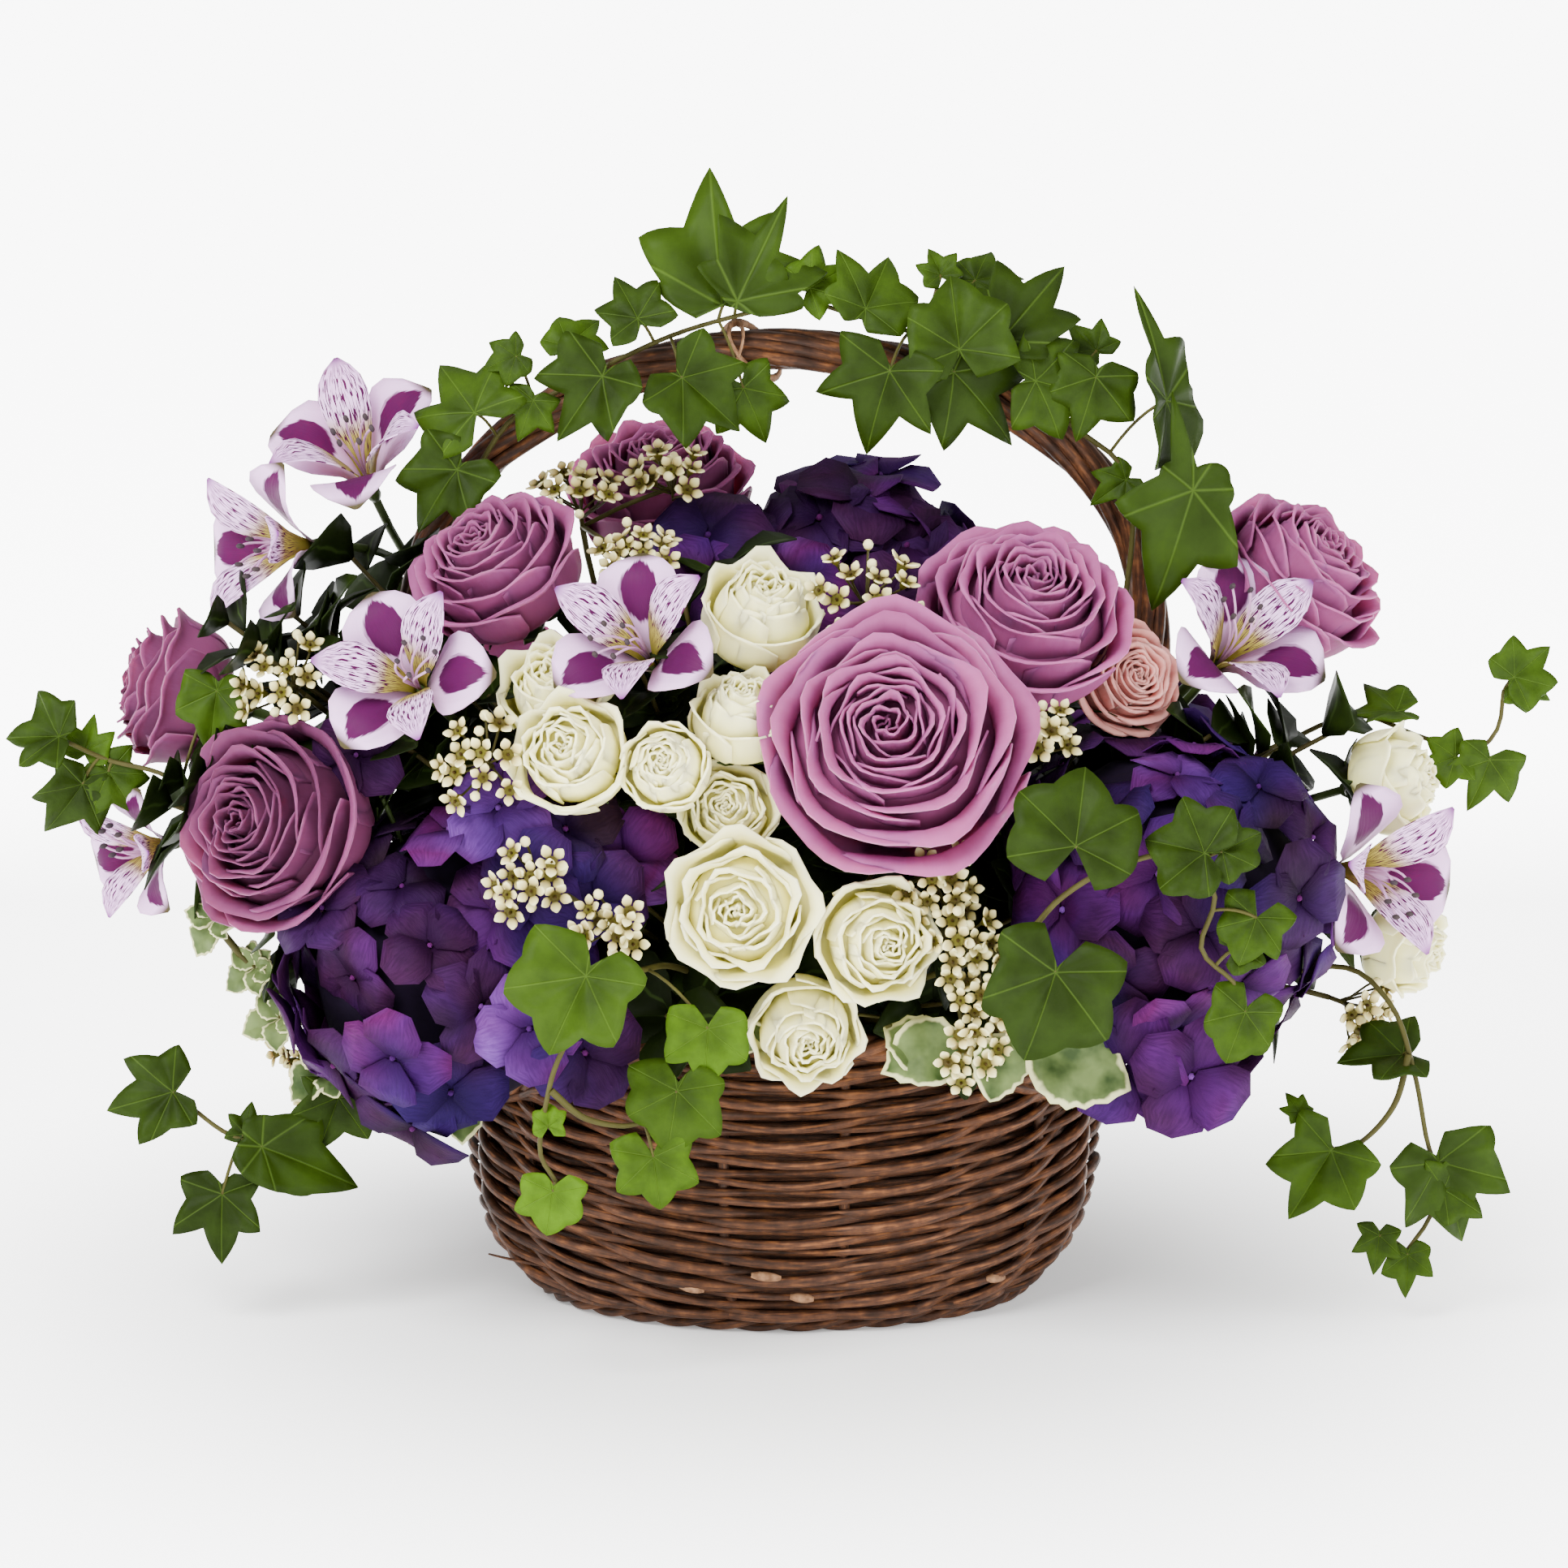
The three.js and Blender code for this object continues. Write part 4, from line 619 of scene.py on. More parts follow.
def cream_finish(lip):
    """A cream petal: green-yellow low in the cup, and the lip's own colour above."""
    f = Finish("cream_petal", 0.5, 0.15, 0.6, 0.003)
    f.shader.inputs["Subsurface Radius"].default_value = (1.0, 0.95, 0.8)
    along = f.parts(f.flat)[1]
    vein = f.noise(3.0, 3.0, (7.0, 0.8, 1.0), f.flat)
    height = f.math("ADD", along, f.math("MULTIPLY", f.math("SUBTRACT", vein, 0.5), 0.2))
    petal = f.ramp(height, [(0.05, 0xF4EA8E), (0.50, 0xF0EA98), (0.92, lip)])
    return f.close(f.shade(petal, 0.88, 1.0), vein, 0.0003, 0.3)


def sepal_finish(violet, blue):
    """A hydrangea sepal: deep violet that turns to magenta from floret to floret, with patches of
    blue over the head. Towards its base each sepal is darkened as painted shade in the floret's
    middle, and its veins streak it darker."""
    f = Finish("violet_sepal", 0.6, 0.04)
    along = f.parts(f.flat)[1]
    drift = f.math("ADD", f.math("MULTIPLY", f.noise(26.0), 0.6), f.math("MULTIPLY", f.tone, 0.4))
    hue = f.ramp(drift, [(0.24, 0x1F101D), (0.36, 0x2E133C), (0.46, 0x301230), (0.56, violet),
                         (0.66, 0x4C1448), (0.80, 0x6A4090)])
    hue = f.mix(f.span(f.noise(17.0, 1.0), 0.48, 0.66, 0.0, 0.6), hue, blue)
    vein = f.noise(4.0, 3.0, (6.0, 1.0, 1.0), f.flat)
    # Darker towards the sepal's base: painted shade in the middle of the floret.
    lip = f.span(along, 0.0, 1.0, 0.1, 1.0)
    dark = f.mix(1.0, hue, 0x9A80A0, "MULTIPLY")
    return f.close(f.mix(f.math("MULTIPLY", lip, f.span(vein, 0.3, 0.7, 0.5, 1.0)), dark, hue),
                   vein, 0.0005, 0.6)


def broad_petal_finish():
    """A broad alstroemeria petal: near white with a large oval blotch and a green tip."""
    f = Finish("blotched_petal", 0.5, 0.06, 0.15)
    across, along = f.parts(f.flat)
    aside = f.math("MULTIPLY", f.math("SUBTRACT", across, 0.5), 3.2)
    ahead = f.math("MULTIPLY", f.math("SUBTRACT", along, 0.65), 2.8)
    away = f.math("SQRT", f.math("ADD", f.math("MULTIPLY", aside, aside),
                                 f.math("MULTIPLY", ahead, ahead)))
    fray = f.math("MULTIPLY", f.noise(3.0, 3.0, (9.0, 1.2, 1.0), f.flat), 0.3)
    ragged = f.math("ADD", away, fray)
    pale = f.ramp(along, [(0.0, 0x505024), (0.3, 0xB890B4), (0.88, 0xDCB0E0), (0.97, 0x46402A)])
    stained = f.mix(f.span(ragged, 0.84, 0.98, 1.0, 0.0), pale, 0x420C39)
    return f.close(f.shade(stained, 0.8, 1.05), f.noise(3.0, 2.0, (9.0, 1.0, 1.0), f.flat), 0.0003)


def narrow_petal_finish():
    """A narrow alstroemeria petal: white to lilac, a green-yellow throat, purple dashes."""
    f = Finish("dashed_petal", 0.5, 0.06, 0.15)
    along = f.parts(f.flat)[1]
    pale = f.ramp(along, [(0.0, 0x6E6618), (0.40, 0xA89C48), (0.56, 0xDCB4E0), (0.9, 0xCFA0D4),
                          (1.0, 0x70307A)])
    dash = f.noise(6.0, 1.0, (7.0, 1.4, 1.0), f.flat)
    inside = f.math("MULTIPLY", f.span(along, 0.15, 0.3), f.span(along, 0.85, 0.98, 1.0, 0.0))
    marks = f.math("MULTIPLY", f.span(dash, 0.52, 0.56), inside)
    return f.close(f.shade(f.mix(marks, pale, 0x3C0A34), 0.8, 1.05))


def plain_finish(name, low, high, roughness, scale=220.0):
    """A part of a plant whose colour runs between two by its tone and a little noise."""
    f = Finish(name, roughness, 0.10)
    drift = f.math("ADD", f.math("MULTIPLY", f.tone, 0.7), f.math("MULTIPLY", f.noise(scale), 0.3))
    return f.close(f.ramp(drift, [(0.15, low), (0.85, high)]))


def wax_finish():
    """A waxflower petal: cream, olive low in the cup."""
    f = Finish("wax_petal", 0.45, 0.2, 0.3)
    along = f.parts(f.flat)[1]
    petal = f.ramp(along, [(0.05, 0x4E441A), (0.40, 0xB8AA68), (0.9, 0xECE2A4)])
    return f.close(f.shade(petal, 0.7, 1.05))


# Half the angle from one vein of an ivy leaf to the next, in degrees.
HALF_VEIN_GAP = 27.0


def ivy_finish(old_and_shaded, young):
    """An ivy leaf: veins fan out from the stalk, and its tone makes it brighter or darker: partly
    from youth, a young leaf being brighter than an older one, and partly painted shade.
    """
    f = Finish("ivy_blade", 0.5, 0.05)
    across, along = f.parts(f.flat)
    x = f.math("MULTIPLY_ADD", across, 2.0, -1.0)
    y = f.math("MULTIPLY_ADD", along, 2.0, -1.0)
    reach = f.math("SQRT", f.math("ADD", f.math("MULTIPLY", x, x), f.math("MULTIPLY", y, y)))
    turn = f.math("ABSOLUTE", f.math("ARCTAN2", x, y))
    between = f.math("PINGPONG", turn, np.radians(HALF_VEIN_GAP))
    away = f.math("MULTIPLY", reach, f.math("SINE", between))
    vein = f.span(away, 0.0, 0.018, 1.0, 0.0)
    net = f.noise(6.0, 4.0, (1, 1, 1), f.flat)
    age_and_shade = f.math("ADD", f.math("MULTIPLY", f.tone, 0.75), f.math("MULTIPLY", net, 0.5))
    drift = f.math("ADD", age_and_shade, f.math("MULTIPLY_ADD", reach, 0.22, -0.18))
    leaf = f.ramp(drift, [(0.15, old_and_shaded), (0.38, 0x223209), (0.62, 0x2F440C), (0.95, young)])
    pale = f.mix(0.30, leaf, 0x6A8A34)
    return f.close(f.mix(f.math("MULTIPLY", vein, 0.5), leaf, pale),
                   f.math("SUBTRACT", net, f.math("MULTIPLY", vein, 0.5)), 0.0010, 0.6)


def edged_finish():
    """A leaf with a cream edge: its tone grows from the middle to the edge."""
    f = Finish("edged_blade", 0.5, 0.10)
    edge = f.math("ADD", f.tone, f.math("MULTIPLY", f.math("SUBTRACT", f.noise(150.0), 0.5), 0.3))
    leaf = f.ramp(f.noise(90.0, 3.0), [(0.35, 0x283818), (0.65, 0x5A6A3C)])
    return f.close(f.mix(f.span(edge, 0.84, 0.93), leaf, 0xBEBE8A))


def shaded_leaf_finish():
    """A filler leaf, near black as painted shade between the blooms, with a lighter midrib."""
    f = Finish("shaded_blade", 0.5, 0.05)
    across = f.parts(f.flat)[0]
    rib = f.span(f.math("ABSOLUTE", f.math("SUBTRACT", across, 0.5)), 0.01, 0.05, 0.4, 0.0)
    leaf = f.ramp(f.math("ADD", f.math("MULTIPLY", f.tone, 0.7),
                         f.math("MULTIPLY", f.noise(120.0), 0.3)),
                  [(0.1, 0x0C1204), (0.55, 0x141E06), (0.95, 0x26360E)])
    return f.close(f.mix(rib, leaf, 0x34481C))


def paper_finish(name, code, foot, near, far):
    """The stage's plain pale paper, which glows though it is no lamp: hardly under the object,
    where the dim glow paints a contact shadow, a little round it, and more the further it lies
    behind it."""
    f = Finish(name, 0.95, 0.1)
    away = f.parts(f.place)[1]
    distance = f.node("ShaderNodeVectorMath", {0: f.place}, operation="LENGTH").outputs["Value"]
    # Dim glow near the foot: a painted contact shadow; the glow round it and behind is painted
    # light.
    ground = f.span(distance, 0.10, 0.42, foot / far, near / far)
    glow = f.math("MAXIMUM", ground, f.span(away, 0.1, 1.2, 0.0, 1.0))
    f.feed(f.shader.inputs["Emission Color"], f.grey(glow))
    f.shader.inputs["Emission Strength"].default_value = far
    return f.close(f.mix(f.noise(0.4, 1.0), code, 0xFFFFFF))


# ---- the basket ----------------------------------------------------------------------------


def wall_top(theta):
    """The wall's height: low at the ends and higher in front and behind, by a power of the
    sine of the angle."""
    return RIM_END_HEIGHT + RIM_MIDDLE_RISE * np.abs(np.sin(theta)) ** RIM_RISE_POWER


def wall_place(theta, z, out):
    """A place on the wall's outside, moved out by a distance: the profile's half width at
    the height, times the cosine along X and the depth share of the sine along Y."""
    half = np.interp(z, WALL_PROFILE[:, 0], WALL_PROFILE[:, 1])
    across = (half + out) * np.cos(theta)
    deep = (DEPTH_SHARE * half + out) * np.sin(theta)
    return np.stack([across, deep, z + 0 * theta], axis=-1)


def wall_outward(theta):
    """The level direction square to the oval."""
    return unit(np.stack([DEPTH_SHARE * np.cos(theta), np.sin(theta), 0 * theta], axis=-1))


def hoop(centre, outward, thick, high, sides=8, tone=0.5, look=0):
    """A closed ring of rod: an oval section, thick along the outward direction and high
    along Z, carried round a closed path."""
    angle = np.linspace(0, 2 * np.pi, sides, endpoint=False)[None, :, None]
    rows = len(centre)
    thick, high = (np.broadcast_to(value, (rows,))[:, None, None] for value in (thick, high))
    up = np.array([0.0, 0.0, 1.0])
    rings = centre[:, None] + thick * np.cos(angle) * outward[:, None] + high * np.sin(angle) * up
    along = np.cumsum(np.linalg.norm(np.roll(centre, -1, axis=0) - centre, axis=1))
    flat = np.stack(np.meshgrid(along, np.arange(sides) / sides, indexing="ij"), axis=-1)
    tone = np.repeat(np.broadcast_to(tone, (rows,)), sides)
    faces = grid_faces(rows, sides, True, True)
    return Skin(rings.reshape(-1, 3), faces, flat.reshape(-1, 2)[:, ::-1], tone, look)


def rod_tones(steps, rods, rng):
    """A tone along a ring made of several rods end to end, each with its own."""
    starts = np.sort(rng.integers(0, steps, rods))
    tones = rng.uniform(0.15, 0.9, rods)
    return tones[np.searchsorted(starts, np.arange(steps), side="right") - 1]


# The wall's rows: steps from stake to stake, power of the climb to the ends, sizes and numbers
# of the slow waves in a row's height, a rod's thickness with its wave, how far a row stands out
# and by how much that varies, and rods to a row. Lengths are in mm.
STEPS_A_STAKE = 8
CLIMB_POWER = 1.3
ROW_WAVES = ((0.6, 3), (0.5, 7))
ROD_GIRTHS, GIRTH_WAVE, GIRTH_WAVES = (0.82, 1.12), 0.15, 5
ROW_OUT, ROW_LOOSE = 1.4, 0.4
RODS_A_ROW = 6
# The rods that close the wall's inside, near black as painted shade seen through the gaps of the
# weave: how far in, half thickness and height, and tone.
LINING_INSET, LINING_ROD, LINING_SHADE_TONE = 0.6, (1.3, 1.8), 0.05
STAKE_STEPS, STAKE_END, STAKE_INSET, STAKE_RADIUS = 18, 3, 1.0, 2.0


def millimetres(length):
    """A length of the settings, which are in metres, as millimetres."""
    return round(length / MM, 4)


def weave_wall(settings, rng):
    """Rods woven in rows round the stakes: each row's distance out swings as a cosine that
    swells between two stakes and swaps over from row to row. The rows rise towards the
    basket's ends, and where one meets the rim or the foot it runs on along it."""
    pitch, rise, foot, reach, weaver = (
        millimetres(length) for length in (settings.pitch, settings.climb, settings.foot,
                                           settings.swing, settings.weaver))
    steps = settings.stakes * STEPS_A_STAKE
    theta = np.linspace(0, 2 * np.pi, steps, endpoint=False)
    top = wall_top(theta)
    climb = rise * (1 - np.abs(np.sin(theta)) ** CLIMB_POWER)
    lowest = -int(rise / pitch)
    highest = int((RIM_END_HEIGHT + RIM_MIDDLE_RISE - foot) / pitch)
    skins = []
    for row in range(lowest, highest):
        z = foot + (row + 0.5) * pitch + climb
        for size, waves in ROW_WAVES:
            z = z + size * np.sin(waves * theta + rng.uniform(0, 6))
        z = np.clip(z, foot + 1, top)
        swing = reach * np.cos(settings.stakes / 2 * theta + np.pi * row)
        girth = rng.uniform(*ROD_GIRTHS) * (
            1 + GIRTH_WAVE * np.sin(GIRTH_WAVES * theta + rng.uniform(0, 6)))
        out = swing - WALL_THICKNESS / 2 + ROW_OUT + rng.uniform(-ROW_LOOSE, ROW_LOOSE)
        skins.append(hoop(wall_place(theta, z, out), wall_outward(theta), weaver * girth,
                          weaver * girth, tone=rod_tones(steps, RODS_A_ROW, rng)))
    theta = theta[::2]
    # Near-black lining rods: painted shade behind the rows.
    for z in np.arange(foot, RIM_END_HEIGHT + RIM_MIDDLE_RISE, pitch):
        level = np.minimum(z, wall_top(theta))
        skins.append(hoop(wall_place(theta, level, -WALL_THICKNESS - LINING_INSET),
                          wall_outward(theta), *LINING_ROD, 6, LINING_SHADE_TONE))
    for i in range(settings.stakes):
        theta = np.full(STAKE_STEPS, (2 * i + 1) * (np.pi / settings.stakes))
        z = np.linspace(STAKE_END, wall_top(theta[0]) + STAKE_END, STAKE_STEPS)
        path = wall_place(theta, z, -WALL_THICKNESS / 2 - STAKE_INSET)
        skins.append(tube(path, STAKE_RADIUS, 8, rng.uniform(0.1, 0.4)))
    return skins


# Rods that follow one another in a strand of the twisted borders.
RODS_A_STRAND = 7


def twist_ring(centre, outward, strands, turns, lay, girth, rng):
    """Strands laid round a closed middle line like a rope: each keeps the lay's distance from
    the line and turns about it evenly."""
    angle = np.linspace(0, 2 * np.pi, len(centre), endpoint=False)
    skins = []
    for k in range(strands):
        turn = turns * angle + 2 * np.pi * k / strands
        around = np.cos(turn)[:, None] * outward
        around[:, 2] += np.sin(turn)
        skins.append(hoop(centre + lay * around, outward, girth, girth, 8,
                          rod_tones(len(centre), RODS_A_STRAND, rng)))
    return skins


# Pale cut ends and scars of rods along the foot: X, height and length of each, their radii
# from end to end, how far they tilt and how far they stand out.
CUT_ENDS = ((-31, 18.5, 8), (6, 15.5, 8), (72, 16.0, 7), (-6, 24.0, 10))
CUT_END_RADII = (0.9, 1.6, 1.8, 1.6, 0.9)
CUT_END_TILT, CUT_END_OUT = 0.6, 1.8
# The loose twig, from its root to its tip: place round the oval in radians, height, distance
# out and radius.
TWIG_TURN, TWIG_HEIGHT, TWIG_OUT, TWIG_RADIUS = (-2.62, -2.84), (16, 17), (-2, 9), (0.7, 0.35)
TWIG_STEPS = 8


def cut_ends():
    """Short pale rods that lie along the foot, and a fine twig that stands out of it."""
    skins = []
    steps = len(CUT_END_RADII)
    for x, z, length in CUT_ENDS:
        half = np.interp(z, WALL_PROFILE[:, 0], WALL_PROFILE[:, 1])
        theta = -np.arccos(np.linspace(x - length / 2, x + length / 2, steps) / half)
        tilt = np.linspace(CUT_END_TILT, -CUT_END_TILT, steps)
        skins.append(tube(wall_place(theta, z + tilt, CUT_END_OUT), CUT_END_RADII, 8, 0.5, 1))
    theta, z, out, radius = (np.linspace(*ends, TWIG_STEPS)
                             for ends in (TWIG_TURN, TWIG_HEIGHT, TWIG_OUT, TWIG_RADIUS))
    skins.append(tube(wall_place(theta, z, out), radius, 6, 0.6))
    return skins


# The base: steps round a ring, first and last half width of the rings and their distance, the
# height they lie at, how far and how often they swing, and a rod's half sizes; the sticks'
# number, ends and radius.
BASE_STEPS = 144
BASE_RINGS = np.arange(9, 80, 4.6)
BASE_HEIGHT, BASE_SWING, BASE_SWINGS = 3, 0.9, 12
BASE_ROD = (2.2, 1.9)
BASE_STICKS, STICK_ENDS, STICK_STEPS, STICK_RADIUS = 24, (4, 79), 8, 1.7


def weave_base(rng):
    """Rings of rod woven over sticks that lie from the middle to the foot: the height of a
    ring swings as a cosine that swaps over from ring to ring."""
    skins = []
    theta = np.linspace(0, 2 * np.pi, BASE_STEPS, endpoint=False)
    for row, half in enumerate(BASE_RINGS):
        swing = BASE_SWING * np.cos(BASE_SWINGS * theta + np.pi * row)
        centre = np.stack([half * np.cos(theta), DEPTH_SHARE * half * np.sin(theta),
                           BASE_HEIGHT + swing], axis=-1)
        skins.append(hoop(centre, wall_outward(theta), *BASE_ROD, 6,
                          rod_tones(BASE_STEPS, 2, rng)))
    reach = np.linspace(*STICK_ENDS, STICK_STEPS)
    for angle in np.linspace(0, 2 * np.pi, BASE_STICKS, endpoint=False):
        path = np.stack([reach * np.cos(angle), DEPTH_SHARE * reach * np.sin(angle),
                         np.full(STICK_STEPS, float(BASE_HEIGHT))], axis=-1)
        skins.append(tube(path, STICK_RADIUS, 6, rng.uniform(0.3, 0.7)))
    return skins


# The two twisted borders: steps round the oval, then place, lay and girth of each.
BORDER_STEPS = 640
FOOT_HEIGHT, FOOT_INSET, FOOT_STRANDS, FOOT_TURNS, FOOT_LAY, FOOT_GIRTH = 3.6, 2.0, 3, 12, 1.7, 1.8
RIM_LIFT, RIM_OUT, RIM_LAY, RIM_GIRTH = 4.9, 1.5, 2.4, 2.5


def weave_basket(settings, finishes):
    """The oval base, the wall on its stakes and the twisted rim."""
    rng = np.random.default_rng(settings.seed)
    make_piece("woven_base", weave_base(rng), finishes, ["basket_base"])
    theta = np.linspace(0, 2 * np.pi, BORDER_STEPS, endpoint=False)
    outward = wall_outward(theta)
    foot = wall_place(theta, np.full(BORDER_STEPS, FOOT_HEIGHT), -FOOT_INSET)
    wall = weave_wall(settings, rng) + cut_ends()
    wall += twist_ring(foot, outward, FOOT_STRANDS, FOOT_TURNS, FOOT_LAY, FOOT_GIRTH, rng)
    make_piece("woven_wall", wall, finishes, ["basket_body"])
    rim = wall_place(theta, wall_top(theta) + RIM_LIFT, -WALL_THICKNESS / 2 + RIM_OUT)
    strands = twist_ring(rim, outward, settings.strands, settings.turns, RIM_LAY, RIM_GIRTH, rng)
    make_piece("twisted_rim", strands, finishes, ["basket_rim"])


def handle_line(steps):
    """The handle's middle line: up one leg, over the arch and down the other leg."""
    leg = [(-x, 0, z) for x, z in HANDLE_LEG]
    angle = np.pi * (1 - np.arange(1, HANDLE_ARCH_POINTS) / HANDLE_ARCH_POINTS)
    arch = np.stack([HANDLE_HALF_WIDTH * np.cos(angle), 0 * angle,
                     HANDLE_ARCH_START + HANDLE_ARCH_RISE * np.sin(angle)], axis=-1)
    other = [(x, 0, z) for x, z in HANDLE_LEG[::-1]]
    return smooth_path(np.vstack([leg, arch, other]), steps)


# The handle: steps along it, its core's radius, the rods' mean distance from the line and
# their radii, and how far and how often the winding and the distance waver.
HANDLE_STEPS, HANDLE_CORE, HANDLE_LAY, HANDLE_ROD_RADII = 160, 3.0, 4.9, (2.2, 2.8)
WINDING_WAVER, WINDING_WAVERS, LAY_WAVER, LAY_WAVERS = 0.25, 9, 0.5, 14
# Tie rings: the step along the handle's line and how far the ring leans, then their sizes.
HANDLE_TIES = ((76, 5.0), (78, -6.0))
TIE_STEPS, TIE_RADIUS, TIE_GIRTH = 24, 10.0, 1.1


def twist_handle(settings, finishes):
    """Rods bent together over the basket: each winds slowly round the middle line, and its
    distance from it wavers. Two thin ties lie round them, leaning along the line."""
    rng = np.random.default_rng(settings.seed + 1)
    line = handle_line(HANDLE_STEPS)
    side, up, tangent = path_axes(line)
    share = np.linspace(0, 1, len(line))
    skins = [tube(line, HANDLE_CORE, 8, 0.4)]
    for k in range(settings.handle_rods):
        turn = 2 * np.pi * (settings.handle_turns * share + k / settings.handle_rods)
        turn = turn + WINDING_WAVER * np.sin(WINDING_WAVERS * share + rng.uniform(0, 6))
        reach = HANDLE_LAY + LAY_WAVER * np.sin(LAY_WAVERS * share + rng.uniform(0, 6))
        path = line + reach[:, None] * (np.cos(turn)[:, None] * side + np.sin(turn)[:, None] * up)
        skins.append(tube(path, rng.uniform(*HANDLE_ROD_RADII), 8, rng.uniform(0.15, 0.9)))
    angle = np.linspace(0, 2 * np.pi, TIE_STEPS, endpoint=False)[:, None]
    cos, sin = np.cos(angle), np.sin(angle)
    for i, lean in HANDLE_TIES:
        ring = line[i] + TIE_RADIUS * (cos * side[i] + sin * up[i])
        ring = ring + lean * (cos + sin) * tangent[i]
        skins.append(hoop(ring, unit(ring - line[i]), TIE_GIRTH, TIE_GIRTH, 6, 1.0, 1))
    make_piece("twisted_handle", skins, finishes, ["handle"])


# ---- petals and leaves ---------------------------------------------------------------------


def strip(run, rise, width, cup, facing, reach, axes, middle, thickness, tone=0.5, look=0,
          columns=5, ripple=0.0):
    """A petal or leaf: its middle line goes out by run and up by rise, it is as wide as the
    width to each side, and it is dished by the cup times the square of the distance aside.
    All are shares of the reach; the facing turns it about the axis."""
    u = np.linspace(-1, 1, columns)
    aside = np.asarray(width)[:, None] * u
    up = np.asarray(rise)[:, None] + cup * aside ** 2
    up = up + ripple * np.abs(u) * np.sin(3 * np.pi * np.linspace(0, 1, len(run)))[:, None]
    out = np.asarray(run)[:, None] + 0 * aside
    cos, sin = np.cos(facing), np.sin(facing)
    local = np.stack([out * cos - aside * sin, out * sin + aside * cos, up], axis=-1)
    return blade(placed(local * reach, axes, middle), thickness, tone, look)


def turned(profile, sides, reach, axes, middle, tone=0.5, look=0):
    """A small round body: a profile of radius and height turned about the axis."""
    profile = np.asarray(profile, float)
    angle = np.linspace(0, 2 * np.pi, sides, endpoint=False)
    radius, height = profile[:, 0, None], profile[:, 1, None]
    rings = np.stack([radius * np.cos(angle), radius * np.sin(angle), height + 0 * angle], axis=-1)
    rings = placed(rings * reach, axes, middle)
    return closed_rings(rings, rings[0].mean(axis=0), rings[-1].mean(axis=0), tone, look)


# Share of a petal's run at which its lip starts to roll.
LIP_START = 0.78
# Thickness of a rose petal, of a thin petal or sepal, and of a leaf, in mm.
PETAL_THICKNESS, SEPAL_THICKNESS, LEAF_THICKNESS = 0.7, 0.4, 0.5
# How far the filling lies below the rims, its sides, and the place on the petal that gives its
# colour.
HEART_SINK, HEART_SIDES = 0.14, 20
HEART_SHARE = (0.5, 0.4)
# Petals, rim out, rim up, belly, half width in degrees, roll of the lip in radians, its run.
ROSE_LAYERS = (
    (2, 0.04, 0.42, 0.12, 120, 0.4, 0.05),
    (3, 0.11, 0.46, 0.19, 100, 0.7, 0.08),
    (3, 0.19, 0.47, 0.27, 90, 0.9, 0.09),
    (4, 0.28, 0.46, 0.37, 80, 1.0, 0.11),
    (4, 0.38, 0.43, 0.46, 76, 1.1, 0.13),
    (5, 0.49, 0.38, 0.55, 68, 1.3, 0.16),
    (5, 0.62, 0.27, 0.66, 64, 1.5, 0.20),
    (5, 0.78, 0.12, 0.77, 60, 1.6, 0.22),
    (5, 0.92, -0.06, 0.86, 56, 1.6, 0.23),
)
SPRAY_LAYERS = (
    (2, 0.07, 0.46, 0.18, 120, 0.4, 0.07),
    (3, 0.18, 0.50, 0.31, 105, 0.8, 0.10),
    (3, 0.32, 0.48, 0.45, 92, 1.0, 0.13),
    (4, 0.49, 0.40, 0.60, 84, 1.2, 0.16),
    (5, 0.69, 0.20, 0.74, 70, 1.5, 0.21),
    (5, 0.90, -0.02, 0.86, 60, 1.5, 0.25),
)


def cupped_petal(layer, facing, reach, axes, middle, rng, grid, base, tone, ruffle):
    """A rose petal: a sector of a cup. Its profile runs from the head's foot out to the
    belly and up to the rim on a cubic curve, then rolls outwards along an arc; its top is
    rounded towards the sides, one side lies further out than the other, and its edge waves
    as much as the ruffle says."""
    rim_out, rim_up, belly, spread, roll, lip = layer[1:]
    rows, columns = grid
    rim_up = rim_up + rng.uniform(-0.04, 0.04)
    roll, lip = roll * rng.uniform(0.65, 1.15), lip * rng.uniform(0.8, 1.25)
    v, u = np.meshgrid(np.linspace(0, 1, rows), np.linspace(-1, 1, columns), indexing="ij")
    run = v * (1 - 0.06 * np.abs(u) - 0.16 * np.abs(u) ** 3)
    corners = ((0.06, base), (belly * 1.05, base + 0.1), (belly, rim_up - 0.30), (rim_out, rim_up))
    profile = cubic(corners, np.minimum(run / LIP_START, 1))
    ahead = unit(np.subtract(corners[3], corners[2]))
    aside = np.array([ahead[1], -ahead[0]])
    turn = roll * np.clip((run - LIP_START) / (1 - LIP_START), 0, 1)[..., None]
    profile = profile + lip / roll * (np.sin(turn) * ahead + (1 - np.cos(turn)) * aside)
    side = np.clip((np.abs(u) - 0.5) / 0.5, 0, 1) ** 2
    wave = ruffle * np.sin(2.2 * np.pi * u + rng.uniform(0, 6)) * run ** 3
    out = profile[..., 0] + 0.05 * u * run + 0.05 * side * roll * run + 0.014 * wave * (1 + roll)
    up = profile[..., 1] - 0.04 * side * roll * run + 0.020 * wave * (1 + roll)
    angle = facing + u * np.radians(spread) * (0.45 + 0.55 * np.clip(run / 0.5, 0, 1))
    local = np.stack([out * np.cos(angle), out * np.sin(angle), up], axis=-1)
    return blade(placed(local * reach, axes, middle), PETAL_THICKNESS, tone)


def closed_layers(layers, opened):
    """The layers of a bud: its rims drawn in and up and its lips rolled less, hardly so in
    the outermost layer."""
    shut = (1 - opened) * np.where(np.arange(len(layers)) == len(layers) - 1, 0.45, 1.0)
    return tuple((count, rim_out * (1 - 0.42 * s), rim_up + 0.42 * s * rim_out, belly,
                  spread, roll - (roll - 0.2) * s, lip * (1 - 0.65 * s))
                 for s, (count, rim_out, rim_up, belly, spread, roll, lip) in zip(shut, layers))


